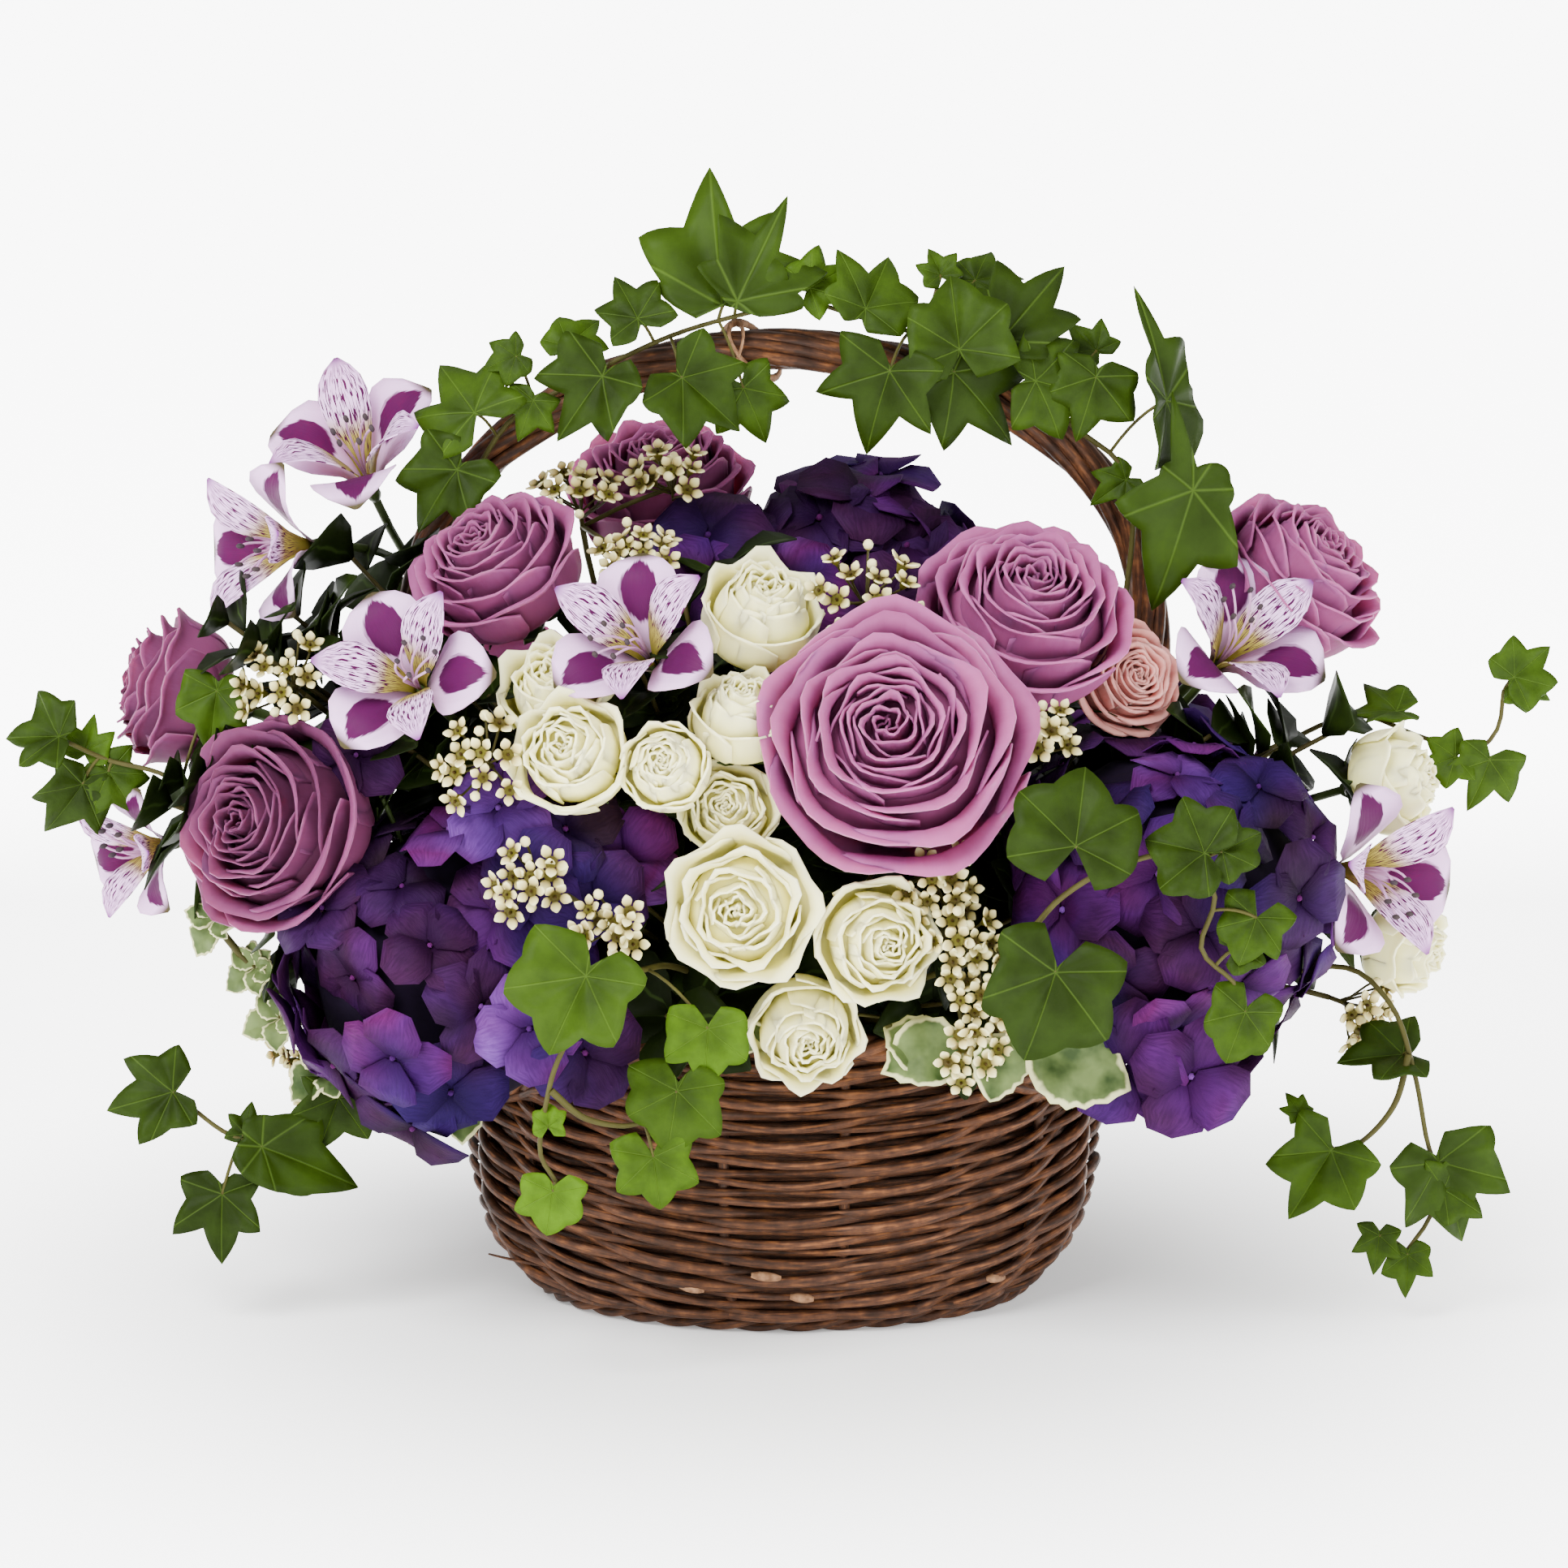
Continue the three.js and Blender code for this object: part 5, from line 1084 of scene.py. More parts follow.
def heart_fill(layers, base, reach, axes, middle, tone):
    """A rose's inside, seen between its petals: a body turned about the axis that keeps a
    little below the rim of each layer but the outermost."""
    rims = [(layer[1], layer[2] - HEART_SINK) for layer in layers[:-1]]
    belly, (rim_out, rim_up) = layers[-1][3], rims[-1]
    corners = ((0.05, base + 0.03), (0.9 * belly, base + 0.12), (0.85 * belly, rim_up - 0.3),
               (rim_out, rim_up))
    side = [tuple(place) for place in cubic(corners, np.linspace(0, 1, 6))]
    profile = side + rims[-2::-1] + [(0.02, rims[0][1])]
    fill = turned(profile, HEART_SIDES, reach, axes, middle, tone)
    fill.flat[:] = HEART_SHARE
    return fill


def rose_head(row, layers, base, grid, shade, rng, ruffle=1.0):
    """A rose's petals, layer by layer from the heart out; the heart stands off the middle. The
    inner layers are painted darker as shade deep in the head.
    """
    middle, size = np.array(row[:3], float), row[5]
    axes = axes_about(direction(row[3], row[4]), rng.uniform(0, 6))
    drift = rng.uniform(-0.07, 0.07, 2) @ axes[:2] * size / 2
    skins = [heart_fill(layers, base, size / 2, axes, middle + drift / 2, shade)]
    for depth, layer in enumerate(layers):
        turn = rng.uniform(0, 6)
        spot = middle + drift * (1 - layer[1])
        for k in range(layer[0]):
            facing = turn + 2 * np.pi * k / layer[0] + rng.uniform(-0.15, 0.15)
            # Inner layers darker, outer ones lighter: painted shade deep in the head.
            tone = shade + 0.35 * (depth / len(layers) - 0.5) + rng.uniform(-0.12, 0.12)
            skins.append(cupped_petal(layer, facing, size / 2, axes, spot, rng, grid, base, tone,
                                      ruffle))
    return skins, axes


# A calyx: the cup's radii and heights over the foot, and the run, rise and width of a sepal.
CALYX_CUP = ((0.03, -0.02), (0.10, 0.02), (0.17, 0.12), (0.15, 0.26))
CALYX_RUN = (0.08, 0.28, 0.48, 0.66, 0.80)
CALYX_RISE = (0.18, 0.18, 0.24, 0.36, 0.52)
CALYX_WIDTH = (0.09, 0.13, 0.11, 0.07, 0.01)


def rose_calyx(row, foot, rng, look=0):
    """The green cup under a rose and its five sepals."""
    middle, size = row[:3], row[5]
    axes = axes_about(direction(row[3], row[4]), 0.4)
    cup = np.array(CALYX_CUP) + (0, foot)
    skins = [turned(cup, 12, size / 2, axes, middle, 0.4, look)]
    rise = foot + np.array(CALYX_RISE)
    for k in range(5):
        skins.append(strip(CALYX_RUN, rise, CALYX_WIDTH, 0.8, 2 * np.pi * k / 5, size / 2, axes,
                           middle, LEAF_THICKNESS, 0.3 + rng.uniform(-0.1, 0.1), look, 4))
    return skins


PEACH_ROSE = (116, -48, 226, 25, 20, 38)
# How light a rose's petals are painted, from 0 to 1: the lower levels are painted shade on roses
# that lie in shadow.
ROSE_SHADE_LEVELS = {"lower_left": 0.04, "far_left": 0.12, "far_right": 0.50, "top": 0.30,
              "upper_left": 0.42}
COMMON_ROSE_SHADE_LEVEL = 0.58
# Foot of the petals and of the calyx as shares of the half width, rows and columns of a
# petal's mesh, and the stem's radius.
ROSE_BASE, ROSE_FOOT, ROSE_GRID, ROSE_STEM = -0.80, -1.12, (14, 13), 2.2
SPRAY_BASE, SPRAY_FOOT, SPRAY_GRID, SPRAY_STEM = -0.72, -0.98, (12, 11), 1.5
SPRAY_TONE, SPRAY_RUFFLE = 0.75, 2.2


def open_roses(settings, lavender, peach, green):
    """The lavender roses, each a head of petals and a stem with its calyx, and one small
    peach rose that shows behind them."""
    rng = np.random.default_rng(settings.seed + 2)
    for name, row in [*ROSES.items(), ("peach", PEACH_ROSE)]:
        # The rose's level of painted shade.
        shade = ROSE_SHADE_LEVELS.get(name, COMMON_ROSE_SHADE_LEVEL)
        skins, axes = rose_head(row, ROSE_LAYERS, ROSE_BASE, ROSE_GRID, shade, rng)
        extra = name == "peach"
        make_piece("petals_" + name, skins, [peach if extra else lavender],
                   [] if extra else ["rose_" + name])
        foot = np.array(row[:3]) + ROSE_FOOT * row[5] / 2 * axes[2]
        path = stem_path(foot, axes[2], SWAYS.get("rose_" + name, 0))
        stem = [tube(path, ROSE_STEM, 8, 0.5)] + rose_calyx(row, ROSE_FOOT, rng)
        make_piece("stem_of_" + name, stem, [green],
                   [] if extra else ["rose_stem_" + name])


def open_spray_roses(settings, petal, green):
    """The cream spray roses: several heads on one forked stem."""
    rng = np.random.default_rng(settings.seed + 3)
    for name, heads in SPRAY_ROSES.items():
        skins, main = [], None
        for i, row in enumerate(heads):
            layers = closed_layers(SPRAY_LAYERS, row[6])
            petals, axes = rose_head(row, layers, SPRAY_BASE, SPRAY_GRID, SPRAY_TONE, rng,
                                     SPRAY_RUFFLE)
            foot = np.array(row[:3]) + SPRAY_FOOT * row[5] / 2 * axes[2]
            if main is None:
                main = path = stem_path(foot, axes[2], SWAYS.get("spray_roses_" + name, 0))
            else:
                path = branch_path(main, 0.25 * (1 + i), foot, axes[2])
            calyx = rose_calyx(row, SPRAY_FOOT, rng, 1)
            skins += petals + [tube(path, SPRAY_STEM, 7, 0.5, 1)] + calyx
        make_piece("sprays_" + name, skins, [petal, green], ["spray_roses_" + name])


def floret(place, face, reach, rng):
    """A hydrangea floret: four broad sepals round a bead."""
    v = np.linspace(0, 1, 4)
    width = 0.56 * np.array([0.25, 0.92, 1.0, 0.42])
    tone = rng.uniform(0, 1)
    skins = []
    for k in range(4):
        rise = 0.05 + rng.uniform(0.1, 0.5) * v - 0.45 * v ** 2 + 0.05 * (k % 2)
        facing = k * np.pi / 2 + rng.uniform(-0.1, 0.1)
        skins.append(strip(0.05 + 0.95 * v, rise, width, 0.22, facing, reach, face, place,
                           SEPAL_THICKNESS, tone, 0, 4))
    bead = [(0.04, 0.05), (0.06, 0.10), (0.03, 0.15)]
    return skins + [turned(bead, 6, reach, face, place, 0.9, 0)]


# A hydrangea head: its inner ball, near black as painted shade between the florets, as a share of
# the radius, how far round towards the stem the florets go, as a cosine, where they stand as shares
# of the radius, and the stems' radii.
INNER_BALL, FLORET_LIMIT, FLORET_DEPTHS = 0.80, 0.35, (0.78, 0.97)
HYDRANGEA_STEM, FLORET_STALK = 3.0, 0.9


def head_hydrangeas(settings, sepal, heart, green):
    """The hydrangea heads: florets on the outer side of a ball, spread by the golden angle, and
    some loose ones, over a near-black inner ball on its stem that paints the shade inside the head."""
    rng = np.random.default_rng(settings.seed + 4)
    for name, (x, y, z, radius, width) in HYDRANGEAS.items():
        middle = np.array([x, y, z], float)
        inward = unit(STEM_HEART - middle)
        axes = axes_about(inward)
        angle = np.linspace(0, np.pi, 9)
        profile = INNER_BALL * np.stack([np.sin(angle), -np.cos(angle)], axis=-1)[1:-1]
        # The inner ball takes the near-black heart finish: painted shade between the florets.
        skins = [turned(profile, 16, radius, axes, middle, 0.2, 1)]
        skins.append(tube(stem_path(middle, -inward), HYDRANGEA_STEM, 8, 0.5, 2))
        count = settings.florets
        heights = 1 - 2 * (np.arange(count) + 0.5) / count
        for i, height in enumerate(heights):
            level = np.sqrt(1 - height ** 2)
            spot = np.array([level * np.cos(GOLDEN_ANGLE * i), level * np.sin(GOLDEN_ANGLE * i),
                             height])
            if spot @ inward > FLORET_LIMIT:
                continue
            spot = unit(spot + rng.uniform(-0.05, 0.05, 3))
            place = middle + radius * rng.uniform(*FLORET_DEPTHS) * spot
            face = axes_about(unit(spot + rng.uniform(-0.35, 0.35, 3)), rng.uniform(0, 6))
            skins += floret(place, face, width / 2 * rng.uniform(0.80, 1.02), rng)
        for row in LOOSE_FLORETS.get(name, ()):
            place = np.array(row[:3], float)
            face = axes_about(direction(*row[3:5]), rng.uniform(0, 6))
            skins += floret(place, face, row[5] / 2, rng)
            path = cubic((middle, middle + 0.4 * (place - middle), place - 12 * face[2], place),
                         np.linspace(0, 1, 9))
            skins.append(tube(path, FLORET_STALK, 6, 0.5, 2))
        make_piece("florets_" + name, skins, [sepal, heart, green],
                   ["hydrangea_" + name])


# An alstroemeria: places of the outer and the inner petal's middle line and the half widths
# along it, as shares of the flower's half width; radii of stem, stamen, anther and throat.
ALSTROEMERIA_ROOT = -0.66
OUTER_LINE = ((0.04, 0, ALSTROEMERIA_ROOT), (0.22, 0, -0.36), (0.50, 0, -0.02), (0.80, 0, 0.10),
              (1.06, 0, 0.04))
INNER_LINE = ((0.03, 0, -0.64), (0.14, 0, -0.28), (0.36, 0, 0.10), (0.68, 0, 0.38),
              (0.96, 0, 0.46))
OUTER_WIDTH = (0.06, 0.09, 0.15, 0.26, 0.38, 0.46, 0.48, 0.43, 0.29, 0.03)
INNER_WIDTH = (0.05, 0.07, 0.11, 0.17, 0.23, 0.27, 0.28, 0.24, 0.15, 0.02)
ALSTROEMERIA_STEM, STAMEN_RADIUS = 1.6, 0.45
ANTHER_RADII, THROAT_RADII = (0.5, 0.9, 1.0, 0.9, 0.4), (1.6, 2.4, 2.8, 2.7, 2.2, 1.6)


def alstroemeria_flower(row, spin, rng):
    """Three broad outer petals, three narrow inner ones and six stamens from one throat."""
    middle, reach = row[:3], row[5] / 2
    axes = axes_about(direction(row[3], row[4]), spin)
    skins = []
    outer, inner = smooth_path(OUTER_LINE, 9), smooth_path(INNER_LINE, 9)
    for k in range(3):
        turn = 2 * np.pi * k / 3 + rng.uniform(-0.06, 0.06)
        lean = rng.uniform(-0.05, 0.06)
        skins.append(strip(outer[:, 0], outer[:, 2] + lean * outer[:, 0], OUTER_WIDTH, 0.35,
                           turn, reach, axes, middle, SEPAL_THICKNESS, rng.uniform(0.5, 0.9),
                           0, 7, 0.03))
        skins.append(strip(inner[:, 0], inner[:, 2] + lean * inner[:, 0], INNER_WIDTH, 0.9,
                           turn + np.pi / 3, reach, axes, middle, SEPAL_THICKNESS,
                           rng.uniform(0.5, 0.9), 1, 5, 0.02))
    for k in range(6):
        turn = 2 * np.pi * k / 6 + 0.3
        out = np.array([np.cos(turn), np.sin(turn), 0.0])
        tip = 0.22 * out + (0.25, 0.10, 0.42)
        local = cubic(((0, 0, -0.6), 0.05 * out, 0.16 * out + (0.05, 0, 0.2), tip),
                      np.linspace(0, 1, 9))
        path = placed(local * reach, axes, middle)
        skins.append(tube(path, STAMEN_RADIUS, 5, 0.9, 2))
        skins.append(tube(path[-1] + np.linspace(-1.4, 1.6, 5)[:, None] * axes[2],
                          ANTHER_RADII, 6, 0.2, 3))
    foot = np.array(middle) + ALSTROEMERIA_ROOT * reach * axes[2]
    skins.append(tube(foot + np.linspace(-5, 3, 6)[:, None] * axes[2], THROAT_RADII, 8, 0.5, 4))
    return skins, foot - 4 * axes[2], axes[2]


def open_alstroemeria(settings, finishes):
    """The alstroemeria, one or two flowers to a stem."""
    rng = np.random.default_rng(settings.seed + 5)
    for name, flowers in ALSTROEMERIA.items():
        skins, main = [], None
        for i, row in enumerate(flowers):
            flower, foot, axis = alstroemeria_flower(row, 1.7 * i + 0.05 * row[0], rng)
            if main is None:
                main = path = stem_path(foot, axis, SWAYS.get("alstroemeria_" + name, 0))
            else:
                path = branch_path(main, 0.75, foot, axis)
            skins += flower + [tube(path, ALSTROEMERIA_STEM, 7, 0.5, 4)]
        make_piece("lily_" + name, skins, finishes, ["alstroemeria_" + name])


# Radii and heights of a waxflower's cup, its raised middle and a bud, as shares of the reach.
WAX_CUP = ((0.08, -0.60), (0.24, -0.32), (0.40, 0.05), (0.38, 0.16), (0.28, 0.10), (0.10, 0.06))
WAX_MIDDLE = ((0.08, 0.08), (0.11, 0.18), (0.04, 0.34))
WAX_BUD = ((0.3, -0.9), (0.75, -0.4), (0.9, 0.2), (0.6, 0.8), (0.2, 1.0))


def wax_flower(place, axes, reach, rng):
    """A waxflower: five round petals, dished like spoons and set apart, round an open cup
    with a raised middle."""
    v = np.linspace(0, 1, 5)
    width = np.array([0.10, 0.26, 0.32, 0.24, 0.05])
    skins = []
    for k in range(5):
        rise = 0.10 + 0.10 * v + rng.uniform(0.1, 0.4) * v ** 2
        skins.append(strip(0.30 + 0.66 * v, rise, width, 0.9, 2 * np.pi * k / 5, reach, axes, place,
                           LEAF_THICKNESS, rng.uniform(0.5, 0.95), 0, 4))
    skins.append(turned(WAX_CUP, 9, reach, axes, place, rng.uniform(0.3, 0.9), 1))
    skins.append(turned(WAX_MIDDLE, 6, reach, axes, place, 0.1, 1))
    return skins


# A waxflower spray: how far its stem forks below the first cluster, radii of stem, twig and
# stalk, every how many flowers a bud comes, and the reach of a bud and of a flower.
WAX_FORK_DROP = 15
WAX_STEM, WAX_TWIG, WAX_STALK = 1.1, 0.9, 0.45
BUD_EVERY, BUD_REACH, WAX_REACHES = 4, 2.0, (4.6, 5.9)


def sprinkle_waxflowers(settings, finishes):
    """The waxflower sprays: clusters of small flowers and buds on thin twigs."""
    rng = np.random.default_rng(settings.seed + 6)
    for name, (clusters, facing) in WAXFLOWERS.items():
        axis = direction(*facing)
        count = settings.waxflowers
        low = np.array(clusters[0][:3]) - WAX_FORK_DROP * axis
        main = stem_path(low, axis, SWAYS.get("waxflower_" + name, 0))
        skins = [tube(main, WAX_STEM, 6, 0.4, 2)]
        for x, y, z, spread in clusters:
            middle = np.array([x, y, z], float)
            twig = smooth_path([low, (low + middle) / 2 - 2 * axis, middle - 6 * axis], 8)
            skins.append(tube(twig, WAX_TWIG, 6, 0.4, 2))
            axes = axes_about(axis, 0.5)
            for i in range(count):
                out = 1.15 * spread * np.sqrt((i + 0.4) / count)
                angle = GOLDEN_ANGLE * i + rng.uniform(-0.3, 0.3)
                lift = rng.uniform(1, 8) - 0.02 * out ** 2
                local = np.array([out * np.cos(angle), out * np.sin(angle), lift])
                place = placed(local, axes, middle)
                tilt = axes_about(unit(axis + 0.8 * unit(place - middle) * out / spread +
                                       rng.uniform(-0.25, 0.25, 3)), rng.uniform(0, 6))
                foot = middle - rng.uniform(7, 12) * axis
                bud = i % BUD_EVERY == BUD_EVERY - 1
                reach = BUD_REACH if bud else rng.uniform(*WAX_REACHES)
                corners = (foot, foot + 0.4 * (place - foot),
                           place - 0.4 * reach * tilt[2] - 2 * axis,
                           place - 0.45 * reach * tilt[2])
                skins.append(tube(cubic(corners, np.linspace(0, 1, 6)), WAX_STALK, 5, 0.4, 2))
                if bud:
                    skins.append(turned(WAX_BUD, 8, reach, tilt, place, 0.8, 0))
                else:
                    skins += wax_flower(place, tilt, reach, rng)
        make_piece("wax_" + name, skins, finishes, ["waxflower_" + name])


# ---- foliage -------------------------------------------------------------------------------

# Leaf outlines: degrees from the tip and distance from the joint of each corner.
BROAD_LEAF = [(0, 0.98), (28, 0.73), (52, 0.90), (82, 0.68), (114, 0.76), (150, 0.50), (180, 0.08)]
POINTED_LEAF = [(0, 1.05), (27, 0.60), (51, 0.87), (81, 0.56), (111, 0.67), (147, 0.40),
                (180, 0.10)]
FAN_LEAF = [(0, 1.00), (15, 0.56), (40, 0.76), (56, 0.42), (72, 0.48), (104, 0.17), (180, 0.05)]
ARROW_LEAF = [(0, 1.0), (20, 0.58), (46, 0.54), (90, 0.34), (140, 0.36), (180, 0.12)]
SPEAR_LEAF = [(0, 1.0), (14, 0.55), (38, 0.60), (70, 0.28), (110, 0.30), (150, 0.62), (180, 0.50)]
WINGED_LEAF = [(0, 1.00), (22, 0.55), (49, 0.68), (85, 0.36), (118, 0.26), (156, 0.34), (182, 0.16),
               (204, 0.84), (232, 0.30), (268, 0.30), (298, 0.60), (330, 0.54)]
# Leaves with a shape of their own, by their joints.
LEAF_SHAPES = {(140, -28, 288): WINGED_LEAF, (131, -20, 318): SPEAR_LEAF,
               (-21, -14, 350): FAN_LEAF, (-16, -20, 352): FAN_LEAF, (74, -18, 338): FAN_LEAF,
               (60, -24, 336): BROAD_LEAF, (-180, -57, 64): ARROW_LEAF}


def lobed_outline(corners, bulge, rng, share=4):
    """A leaf's outline, counter-clockwise: between its corners the edge swells outwards by
    the bulge. A list that ends at the joint is mirrored to make the other side. Each corner
    is moved a little at random."""
    corners = np.array(corners, float)
    if corners[-1, 0] == 180:
        corners = np.vstack([corners, (360, 0) + corners[-2:0:-1] * (-1, 1)])
    loose = rng.uniform(-1, 1, corners.shape) * (6, 0.07)
    loose[0] = 0
    angle, reach = np.radians(corners[:, 0] + loose[:, 0]), corners[:, 1] + loose[:, 1]
    start = np.stack([-reach * np.sin(angle), reach * np.cos(angle)], axis=-1)[:, None]
    end = np.roll(start, -1, axis=0)
    middle = (start + end) / 2
    swell = middle * (1 + bulge / np.maximum(np.linalg.norm(middle, axis=-1, keepdims=True), 0.3))
    t = np.linspace(0, 1, share, endpoint=False)[None, :, None]
    return ((1 - t) ** 2 * start + 2 * t * (1 - t) * swell + t * t * end).reshape(-1, 2)


def leaf_axes(turn, azimuth, elevation):
    """Rows aside, tipward and normal of a leaf whose tip is turned in the viewer's plane."""
    normal = direction(azimuth, elevation)
    raw = np.array([np.cos(np.radians(turn)), 0, np.sin(np.radians(turn))])
    tipward = unit(raw - (raw @ normal) * normal)
    return np.array([np.cross(tipward, normal), tipward, normal])


def leaf_row(row):
    """A leaf's joint, axes and size out of its layout row."""
    x, y, z, turn, size = row[:5]
    azimuth, elevation = row[5:] if len(row) > 5 else (0, 20)
    return np.array([x, y, z], float), leaf_axes(turn, azimuth, elevation), size


# Radii of a leaf's stalk, of an ivy vine from its root to its tip and of an edged stem, and the
# steps along the last two.
STALK_RADIUS, VINE_RADII, EDGED_STEM = 0.6, (1.3, 0.8), 1.4
VINE_STEPS, EDGED_STEM_STEPS = 60, 40


def stalk(place, vines):
    """A leaf's stalk: a short curve from the nearest place of its vine to its joint."""
    spots = np.vstack(vines)
    near = spots[np.argmin(np.linalg.norm(spots - place, axis=1))]
    sag = np.array([0, 0, 0.12 * np.linalg.norm(place - near)])
    corners = (near, near + (place - near) / 3 + sag, near + (place - near) * 2 / 3 + sag, place)
    return tube(cubic(corners, np.linspace(0, 1, 7)), STALK_RADIUS, 6, 0.6, 1)


# How young a vine's leaves are painted, from 0 to 1, partly from youth and partly as painted shade
# on the darker vines, how far that varies from leaf to leaf, and how much younger the leaves under
# a size are.
IVY_YOUTH_AND_SHADE = {"front_left": 0.62, "left_up": 0.32, "right_up": 0.35, "front_right": 0.18,
             "left_low": 0.12, "right_hanging": 0.30}
COMMON_YOUTH_AND_SHADE = 0.22
YOUTH_LOOSE, SMALL_LEAF, SMALL_LEAF_YOUTH = 0.18, 19, 0.15
# How far the edge of a pointed and of a broad leaf swells.
POINTED_SWELL, BROAD_SWELL = 0.06, 0.09


def trail_ivy(settings, blade_finish, vine_finish):
    """The ivy: vines along their runs, and lobed leaves on stalks, lightly folded along the
    midrib and bent down towards the lobes."""
    rng = np.random.default_rng(settings.seed + 7)
    for name, (runs, leaves) in IVY.items():
        vines = [smooth_path(run, VINE_STEPS) for run in runs]
        radii = np.linspace(*VINE_RADII, VINE_STEPS + 1)
        skins = [tube(vine, radii, 7, 0.5, 1) for vine in vines]
        common = BROAD_LEAF if name in ("front_left", "front_right") else POINTED_LEAF
        for row in leaves:
            place, axes, size = leaf_row(row)
            bulge = POINTED_SWELL if common is POINTED_LEAF else BROAD_SWELL
            outline = lobed_outline(LEAF_SHAPES.get(row[:3], common), bulge, rng)
            fold, droop = rng.uniform(0.10, 0.45), rng.uniform(0.10, 0.35)
            wave, phase = rng.uniform(0.03, 0.09), rng.uniform(0, 6)

            def height(x, y):
                return (fold * np.abs(x) - droop * (x ** 2 + y ** 2) +
                        wave * np.sin(7 * np.arctan2(x, y) + phase) * np.hypot(x, y))

            # A leaf's tone: partly its youth, partly painted shade from vine to vine.
            tone = IVY_YOUTH_AND_SHADE.get(name, COMMON_YOUTH_AND_SHADE) + rng.uniform(-YOUTH_LOOSE, YOUTH_LOOSE)
            tone += SMALL_LEAF_YOUTH if size < SMALL_LEAF else 0
            widened = outline * (rng.uniform(0.92, 1.08), 1)
            skins.append(lamina(widened, height, LEAF_THICKNESS, axes, place, size, 5, tone, 0))
            skins.append(stalk(place, vines))
        make_piece("ivy_trail_" + name, skins, [blade_finish, vine_finish],
                   ["ivy_" + name])


def oval_outline(widest, sides=26):
    """A leaf's oval outline from the joint to the tip, pointed at both ends: its width goes
    with the sine of a share of the length."""
    t = np.linspace(0, 1, sides // 2 + 1)
    aside = widest * np.sin(np.pi * t ** 0.8) ** 0.8
    left = np.stack([-aside, t], axis=-1)[::-1]
    right = np.stack([aside, t], axis=-1)[1:-1]
    return np.vstack([left, right]) - (0, 0.5)


def edge_greens(settings, edged, vine_finish):
    """Leaves with a pale wavy edge on short stems, some with small leaves round them."""
    rng = np.random.default_rng(settings.seed + 8)
    outline = oval_outline(0.40)
    for name, (runs, leaves) in GREENS.items():
        vines = [smooth_path(run, EDGED_STEM_STEPS) for run in runs]
        skins = [tube(vine, EDGED_STEM, 7, 0.5, 1) for vine in vines]
        for *row, around in leaves:
            place, axes, size = leaf_row(row)
            aside, tipward, normal = axes
            for swing in (0, *np.linspace(75, 285, around)):
                cos, sin = np.cos(np.radians(swing)), np.sin(np.radians(swing))
                way = unit(cos * tipward + sin * aside + 0.3 * (swing > 0) * normal)
                leaf = np.array([unit(np.cross(way, normal)), way, normal])
                leaf[2] = np.cross(leaf[0], leaf[1])
                length = size * (1.0 if swing == 0 else rng.uniform(0.6, 0.9))
                waved = outline * (1 + 0.05 * np.sin(2.9 * np.arange(len(outline)) +
                                                     rng.uniform(0, 6)))[:, None]
                fold, phase = rng.uniform(0.1, 0.4), rng.uniform(0, 6)

                def height(x, y):
                    return (fold * np.abs(x) - 0.25 * y ** 2 +
                            0.07 * np.sin(9 * y + phase) * np.abs(x) / 0.3)

                middle = place + way * length * 0.5
                skins.append(lamina(waved, height, LEAF_THICKNESS, leaf, middle, length, 4,
                                    None, 0))
            skins.append(stalk(place, vines))
        make_piece("edged_" + name, skins, [edged, vine_finish], ["greens_" + name])


# Half width, half depth, foot and rise of each dome of sprig tips, and its share of sprigs.
SPRIG_DOMES = ((188, 96, 108, 118, 0.5), (125, 62, 120, 108, 0.3), (60, 40, 140, 100, 0.2))
# Tips of sprigs outside the domes, where the blooms stand apart.
SPRIG_TIPS = ((-132, -64, 208), (-118, -44, 230), (-142, -40, 214), (-60, -52, 238),
              (-40, -60, 230), (-34, -40, 250), (-150, -8, 262), (-128, -2, 258),
              (-160, -20, 240), (100, -44, 226),
              (146, -46, 206), (60, -50, 238), (-190, -40, 198), (170, -30, 200), (188, -36, 150),
              (-100, -60, 222), (-176, -50, 140), (-20, -20, 262), (-206, -34, 188),
              (-200, -48, 176), (-172, -30, 248), (-146, -50, 214), (-49, -78, 236),
              (-190, -40, 244), (-178, -46, 234), (-210, -42, 181), (-196, -54, 190),
              (192, -30, 206))
# A sprig: its stem's radius, the length of stem from leaf to leaf, how many leaves it has at
# most and how long they are.
SPRIG_STEM, SPRIG_STEP, SPRIG_LEAVES, SPRIG_LENGTHS = 0.9, 7, 10, (22, 36)


def sprig(tip, rng):
    """One sprig: a stem from the foam and pointed leaves in turn along its upper part."""
    v = np.linspace(0, 1, 5)
    width = 0.36 * np.array([0.1, 0.8, 1.0, 0.65, 0.05])
    axis = unit(tip - STEM_HEART)
    steps = int(np.linalg.norm(tip - STEM_HEART) / SPRIG_STEP)
    path = evenly(stem_path(tip, axis, 0, 16), steps)
    skins = [tube(path, SPRIG_STEM, 5, 0.3, 1)]
    for k in range(min(SPRIG_LEAVES, len(path) - 2)):
        facing = axes_about(unit(axis + rng.uniform(-0.2, 0.2, 3)), GOLDEN_ANGLE * k)
        length = rng.uniform(*SPRIG_LENGTHS)
        lift = rng.uniform(0.4, 0.8) * v - 0.3 * v ** 2
        skins.append(strip(0.05 + 0.9 * v, lift, width, 0.8, 0, length, facing,
                           path[-1 - k], SEPAL_THICKNESS, rng.uniform(0.0, 0.8), 0, 4))
    return skins


